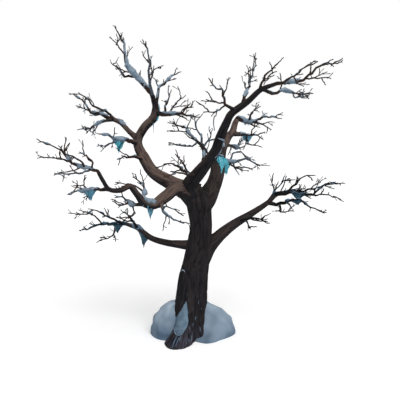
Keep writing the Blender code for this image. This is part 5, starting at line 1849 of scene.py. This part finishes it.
def snow_material(name, lit, shade, foot=0.0, patches=12.0):
    """Packed, wind-settled snow: matt and soft, with a faint grain of crystals, and painted light and shade,
    lighter on its tops and darker and bluer on its undersides.

    Crystals are drawn 7 mm wide so that they show. Patches differ in tone, 80 mm wide on limbs and
    400 mm wide in the drift, which is painted darker as shade up to a given height.
    """
    material, add = new_material(
        name, Roughness=0.8, IOR=1.31, Specular_IOR_Level=0.3, Subsurface_Weight=0.12,
        Subsurface_Radius=(0.03, 0.04, 0.05), Subsurface_Scale=0.4,
    )
    place = add("TexCoord", out="Object")
    heaps = add("TexNoise", None, {"Vector": place, "Scale": patches, "Detail": 1.5})
    crystals = add("TexNoise", None, {"Vector": place, "Scale": 150.0, "Detail": 3.0})
    normal = add("NewGeometry", out="Normal")
    up = add("SeparateXYZ", None, {0: normal}, "Z")
    # Painted light and shade: upward faces take the lit colour, undersides the shade colour, and below the
    # given height the shade colour too.
    share = add("MapRange", SOFT, {"Value": up, "From Min": -0.4, "From Max": 0.95})
    if foot:
        height = add("SeparateXYZ", None, {0: place}, "Z")
        above = add("MapRange", SOFT, {"Value": height, "From Max": 1.15 * foot})
        share = add("Math", TIMES, {0: share, 1: above})
    uneven = add("MapRange", SOFT, {"Value": heaps, "From Min": 0.3, "From Max": 0.7})
    tone = add("Math", TIMES, {0: uneven, 1: 0.4})
    share = add("Math", SHARE_OF, {0: share, 1: 0.75, 2: tone})
    colour = add("Mix", BLEND, {0: share, 6: linear(shade), 7: linear(lit)}, 2)
    bump = add("Bump", None, {"Strength": 0.35, "Distance": 0.004, "Height": crystals})
    return wire(material, Base_Color=colour, Normal=bump)


def ice_material(name, colour, deep):
    """Clear refrozen ice with a strong tint: wet-looking, with veins 25 mm wide that run down it."""
    material, add = new_material(
        name, Roughness=0.16, IOR=1.31, Transmission_Weight=0.12,
        Subsurface_Weight=0.2, Subsurface_Radius=(0.01, 0.03, 0.04), Subsurface_Scale=0.5,
    )
    place = add("TexCoord", out="Object")
    drawn = add("Mapping", None, {"Vector": place, "Scale": (40.0, 40.0, 12.0)})
    veins = add("TexNoise", None, {"Vector": drawn, "Scale": 1.0, "Detail": 3.0})
    share = add("MapRange", SOFT, {"Value": veins, "From Min": 0.35, "From Max": 0.62})
    tint = add("Mix", BLEND, {0: share, 6: linear(deep), 7: linear(colour)}, 2)
    bump = add("Bump", None, {"Strength": 0.3, "Distance": 0.004, "Height": veins})
    return wire(material, Base_Color=tint, Normal=bump)


# ---------------------------------------------------------------- what a user would change


def colour_setting(name, default, description):
    """A hex colour that a user would change."""
    return bpy.props.StringProperty(name=name, default=default, description=description)


def length_setting(name, default, description):
    """A length in metres that a user would change."""
    return bpy.props.FloatProperty(
        name=name, default=default, description=description, min=0.0, precision=4, unit="LENGTH"
    )


class BarkSettings(bpy.types.PropertyGroup):
    """Sizes and colours of the bark."""

    voxel: length_setting("Face size", 0.009, "Size of the faces of the bark's mesh")
    trunk_voxel: length_setting("Trunk face size", 0.0118, "Size of the faces of the trunk's mesh")
    smoothing: bpy.props.IntProperty(name="Smoothing", default=8, description="Passes that soften joints")
    furrow: colour_setting("Furrow", "#0B0B0D", "Colour deep in the furrows")
    # Bark and plate colours in painted light, and below them the darker colours in painted shade.
    bark: colour_setting("Bark", "#514440", "Colour of the bark between")
    plate_in_painted_light: colour_setting("Plate", "#685850", "Colour of the rubbed plates")
    bark_in_painted_shade: colour_setting("Low bark", "#131215", "Colour of the bark in shade and near the ground")
    plate_in_painted_shade: colour_setting("Low plate", "#1E1D21", "Colour of its plates there")
    toe: colour_setting("Toes", "#3E3D47", "Colour of the tops of the roots' toes")
    frost: colour_setting("Frost", "#53626F", "Colour of the frost flecks")


class TwigSettings(bpy.types.PropertyGroup):
    """Sizes and colours of the twigs."""

    shoot_length: length_setting("Shoot length", SHOOT_LENGTH, "Usual length of the finest shoots")
    red: colour_setting("Red-brown", "#2C201D", "Colour of most sprays")
    grey: colour_setting("Grey-brown", "#241D1B", "Colour of the sprays at the back")
    # The low sprays' colours, bare and with real ice, are painted darker as shade.
    black_in_painted_shade: colour_setting("Black", "#0B0A0B", "Colour of the low sprays")
    frosted: colour_setting("Frosted", "#46505A", "Colour of the sprays with frost on them")
    glazed_in_painted_shade: colour_setting("Glazed", "#1A2E38", "Colour of the low sprays with ice on them")


class SnowSettings(bpy.types.PropertyGroup):
    """Sizes and colours of the snow and the ice."""

    snow_voxel: length_setting("Snow face size", 0.009, "Size of the faces of the snow's mesh")
    ice_voxel: length_setting("Ice face size", 0.005, "Size of the faces of the ice's mesh")
    lit: colour_setting("Snow", "#8B9AA8", "Colour of the snow")
    shade: colour_setting("Snow below", "#526576", "Colour of the snow's undersides")
    # Darker colours for the snow on the low boughs, as painted shade.
    low_lit: colour_setting("Low snow", "#677E92", "Colour of the snow on the low boughs")
    low_shade: colour_setting("Low snow below", "#3A5163", "Colour of its undersides")
    drift_lit: colour_setting("Drift", "#9FB0BF", "Colour of the drift round the foot")
    drift_shade: colour_setting("Drift below", "#4A5F74", "Colour of the drift's sides")
    # Darker colours for the snow in the root's hollow, as painted shade.
    hollow_lit: colour_setting("Snow in hollow", "#748A9A", "Colour of the snow in the root's hollow")
    hollow_shade: colour_setting("Snow in hollow below", "#42566A", "Colour of its dips")
    ice: colour_setting("Ice", "#5ABACB", "Colour of the bright ice")
    ice_deep: colour_setting("Ice veins", "#3690A5", "Colour of the bright ice's veins")
    blue_ice: colour_setting("Blue ice", "#4E8CA4", "Colour of the steel-blue ice")
    blue_ice_deep: colour_setting("Blue ice veins", "#2C5F78", "Colour of its veins")
    # Darker colours for the ice on the low boughs, as painted shade.
    low_ice: colour_setting("Low ice", "#1D5066", "Colour of the ice on the low boughs")
    low_ice_deep: colour_setting("Low ice veins", "#10323F", "Colour of its veins")


class StageSettings(bpy.types.PropertyGroup):
    """The studio round the tree."""

    key_power: bpy.props.FloatProperty(name="Key light", default=1.9, description="Strength of the key light")
    sky: bpy.props.FloatProperty(name="Sky light", default=0.5, description="Strength of the soft light")
    floor: colour_setting("Floor", "#FAFAFA", "Colour of the floor")


# ---------------------------------------------------------------- operators


class WINTER_TREE_OT_trunk(bpy.types.Operator):
    """Make the bark of the trunk, its roots and its fork"""

    bl_idname = "winter_tree.trunk"
    bl_label = "Trunk bark"

    def execute(self, context):
        """Make the piece."""
        props = context.scene.winter_bark
        thing = bark_of_trunk(props)
        finish_piece(thing, bark_material(props), ["trunk"])
        return {"FINISHED"}


class WINTER_TREE_OT_boughs(bpy.types.Operator):
    """Make the bark of the boughs, in a left and a right piece"""

    bl_idname = "winter_tree.boughs"
    bl_label = "Bough bark"

    def execute(self, context):
        """Make the pieces."""
        props = context.scene.winter_bark
        material = bpy.data.materials["furrowed_bark_with_painted_light"]
        left = [n for n in BOUGHS if "left" in n]
        right = [n for n in BOUGHS if n not in left]
        for name, group in (("bark_of_left_boughs", left), ("bark_of_right_boughs", right)):
            finish_piece(bark_of_boughs(name, group, props), material, group)
        return {"FINISHED"}


class WINTER_TREE_OT_twigs(bpy.types.Operator):
    """Make the stems, the twigs and the finest shoots of every mass"""

    bl_idname = "winter_tree.twigs"
    bl_label = "Twigs"

    def execute(self, context):
        """Make the pieces, each spray in its own plain colour."""
        props = context.scene.winter_twigs
        kinds = {
            "red": twig_material("young_bark_red_brown", props.red),
            "grey": twig_material("young_bark_grey_brown", props.grey),
            # The low sprays' black and glazed colours are painted shade.
            "black_in_painted_shade": twig_material("young_bark_black_in_painted_shade", props.black_in_painted_shade),
            "frosted": twig_material("young_bark_rimed_with_frost", props.frosted),
            "glazed_in_painted_shade": twig_material("young_bark_glazed_with_ice_in_painted_shade", props.glazed_in_painted_shade),
        }
        names = list(MASSES)
        stems, twigs = wood_of_masses(names)
        shoots = shoots_of_masses(names, props)
        for name, lines, sides in (
            ("stems_of_sprays", stems, 2),
            ("twigs_of_sprays", twigs, 1),
            ("fine_shoots_of_sprays", shoots, 0),
        ):
            pieces = []
            for shade, material in kinds.items():
                made = tubes("spray_" + shade, [line for kind, line in lines if kind == shade], sides)
                made.data.materials.append(material)
                pieces.append(made)
            finish_piece(join(pieces, name), None, names)
        return {"FINISHED"}


class WINTER_TREE_OT_snow(bpy.types.Operator):
    """Make the snow that lies on boughs and stems"""

    bl_idname = "winter_tree.snow"
    bl_label = "Snow on limbs"

    def execute(self, context):
        """Make the bright and the low snow."""
        props = context.scene.winter_snow
        bright, low = snow_groups()
        # The low boughs' snow takes darker colours as painted shade.
        for name, covers, is_low, lit, shade in (
            ("snow_on_limbs", bright, False, props.lit, props.shade),
            ("snow_on_low_limbs", low, True, props.low_lit, props.low_shade),
        ):
            thing = snow_on_limbs(name, covers, dusted(is_low), () if is_low else SKIN_SNOW, props)
            nodes = [n for n, c in BOUGH_SNOW.items() if (c.limb in LOW_LIMBS) == is_low]
            finish_piece(thing, snow_material("packed_" + name, lit, shade), nodes)
        return {"FINISHED"}


class WINTER_TREE_OT_drift(bpy.types.Operator):
    """Make the drift round the foot and the pocket of snow on the front root"""

    bl_idname = "winter_tree.drift"
    bl_label = "Drift round the foot"

    def execute(self, context):
        """Make both pieces."""
        props = context.scene.winter_snow
        material = snow_material(
            "drifted_snow_wind_packed", props.drift_lit, props.drift_shade, DRIFT_TOP, DRIFT_PATCHES
        )
        finish_piece(drift_round_foot(), material, ["snow_mound"])
        # The snow in the hollow takes darker colours as painted shade, darker still up to its given height.
        hollow_snow_in_painted_shade = snow_material(
            "snow_in_hollow_with_painted_shade", props.hollow_lit, props.hollow_shade, HOLLOW_TOP
        )
        finish_piece(pocket_of_snow(hollow_snow_in_painted_shade, material), None, [])
        return {"FINISHED"}


class WINTER_TREE_OT_ice(bpy.types.Operator):
    """Make the curtains of icicles"""

    bl_idname = "winter_tree.ice"
    bl_label = "Icicles"

    def execute(self, context):
        """Make the bright, the blue and the low ice."""
        props = context.scene.winter_snow
        covers = list(BOUGH_ICE.values()) + list(STEM_ICE) + list(MORE_ICE)
        # The low ice takes darker colours as painted shade.
        for kind, colour, deep in (
            ("bright", props.ice, props.ice_deep),
            ("blue", props.blue_ice, props.blue_ice_deep),
            ("low", props.low_ice, props.low_ice_deep),
        ):
            name = "icicles_" + kind
            chosen = [c for c in covers if kind_of_ice(c.limb) == kind]
            nodes = [n for n, c in BOUGH_ICE.items() if c in chosen]
            thing = ice_on_limbs(name, kind, chosen, props)
            finish_piece(thing, ice_material("refrozen_" + name, colour, deep), nodes)
        return {"FINISHED"}


class WINTER_TREE_OT_stage(bpy.types.Operator):
    """Make the floor, the lights and the camera"""

    bl_idname = "winter_tree.stage"
    bl_label = "Stage"

    def execute(self, context):
        """Make the stage."""
        make_stage(context.scene.winter_stage)
        return {"FINISHED"}


class WINTER_TREE_PT_panel(bpy.types.Panel):
    """Lists the pieces to make"""

    bl_idname = "WINTER_TREE_PT_panel"
    bl_label = "Winter Tree"
    bl_space_type = "VIEW_3D"
    bl_region_type = "UI"
    bl_category = "Winter Tree"

    def draw(self, context):
        """Show each operator, and the settings below."""
        for operator in OPERATORS:
            self.layout.operator(operator.bl_idname)
        for name, group in SETTINGS.items():
            settings = getattr(context.scene, name)
            for key in group.__annotations__:
                self.layout.prop(settings, key)


def dusted(is_low):
    """The stems and leaders with thin strips of snow on them: line, how often, and how thick."""
    masses, _ = crown()
    made = plan()
    hosts = []
    for name in MASSES:
        if (name in LOW_LIMBS) != is_low:
            continue
        hosts.append((made.limbs[name], 0.6, 0.008))
        hosts += [(leader, 0.4, 0.006) for leader in masses[name][0]]
    return hosts


# ---------------------------------------------------------------- stage


def key_light(power):
    """A soft sun that is turned to the middle of the tree."""
    data = bpy.data.lights.new("key", "SUN")
    data.energy = power
    data.angle = math.radians(KEY_SOFTNESS)
    thing = bpy.data.objects.new("key", data)
    thing.location = KEY_PLACE
    way = Vector(TREE_MIDDLE) - Vector(KEY_PLACE)
    thing.rotation_euler = way.to_track_quat("-Z", "Y").to_euler()
    bpy.context.scene.collection.objects.link(thing)


def make_stage(props):
    """A pale floor, a soft sun, soft sky light all round, and the camera."""
    deselect()
    bpy.ops.mesh.primitive_plane_add(size=STAGE_SIZE)
    floor = bpy.context.object
    floor.name = "studio_floor"
    material, _ = new_material(
        "matt_pale_floor", Base_Color=linear(props.floor), Roughness=1.0,
        Emission_Color=(1.0, 1.0, 1.0, 1.0), Emission_Strength=FLOOR_GLOW,
    )
    floor.data.materials.append(material)
    key_light(props.key_power)
    world = bpy.data.worlds.new("studio")
    bpy.context.scene.world = world
    world.use_nodes = True
    tree = world.node_tree
    background = tree.nodes["Background"]
    background.inputs["Color"].default_value = (1, 1, 1, 1)
    background.inputs["Strength"].default_value = props.sky
    seen = tree.nodes.new("ShaderNodeBackground")
    seen.inputs["Color"].default_value = (1, 1, 1, 1)
    seen.inputs["Strength"].default_value = SEEN_WHITE
    path = tree.nodes.new("ShaderNodeLightPath")
    pick = tree.nodes.new("ShaderNodeMixShader")
    tree.links.new(path.outputs["Is Camera Ray"], pick.inputs[0])
    tree.links.new(background.outputs[0], pick.inputs[1])
    tree.links.new(seen.outputs[0], pick.inputs[2])
    tree.links.new(pick.outputs[0], tree.nodes["World Output"].inputs["Surface"])
    bpy.context.scene.view_settings.view_transform = "Standard"
    camera = bpy.data.cameras.new("camera")
    camera.sensor_fit = "HORIZONTAL"
    camera.angle = math.radians(CAMERA_FIELD)
    camera.clip_end = 500
    thing = bpy.data.objects.new("camera", camera)
    thing.location = CAMERA_PLACE
    thing.rotation_euler = (math.radians(90 - CAMERA_DOWN), 0, 0)
    bpy.context.scene.collection.objects.link(thing)
    bpy.context.scene.camera = thing


SETTINGS = {
    "winter_bark": BarkSettings,
    "winter_twigs": TwigSettings,
    "winter_snow": SnowSettings,
    "winter_stage": StageSettings,
}
OPERATORS = (
    WINTER_TREE_OT_stage,
    WINTER_TREE_OT_trunk,
    WINTER_TREE_OT_boughs,
    WINTER_TREE_OT_twigs,
    WINTER_TREE_OT_snow,
    WINTER_TREE_OT_drift,
    WINTER_TREE_OT_ice,
)


def register():
    """Register the settings, the operators and the panel."""
    for group in (*SETTINGS.values(), *OPERATORS, WINTER_TREE_PT_panel):
        bpy.utils.register_class(group)
    for name, group in SETTINGS.items():
        setattr(bpy.types.Scene, name, bpy.props.PointerProperty(type=group))


def unregister():
    """Take the panel, the operators and the settings away again."""
    for name in SETTINGS:
        delattr(bpy.types.Scene, name)
    for group in (WINTER_TREE_PT_panel, *reversed(OPERATORS), *reversed(SETTINGS.values())):
        bpy.utils.unregister_class(group)


def main():
    """Make every piece in order."""
    register()
    for operator in OPERATORS:
        group, name = operator.bl_idname.split(".")
        getattr(getattr(bpy.ops, group), name)()


if __name__ == "__main__":
    main()
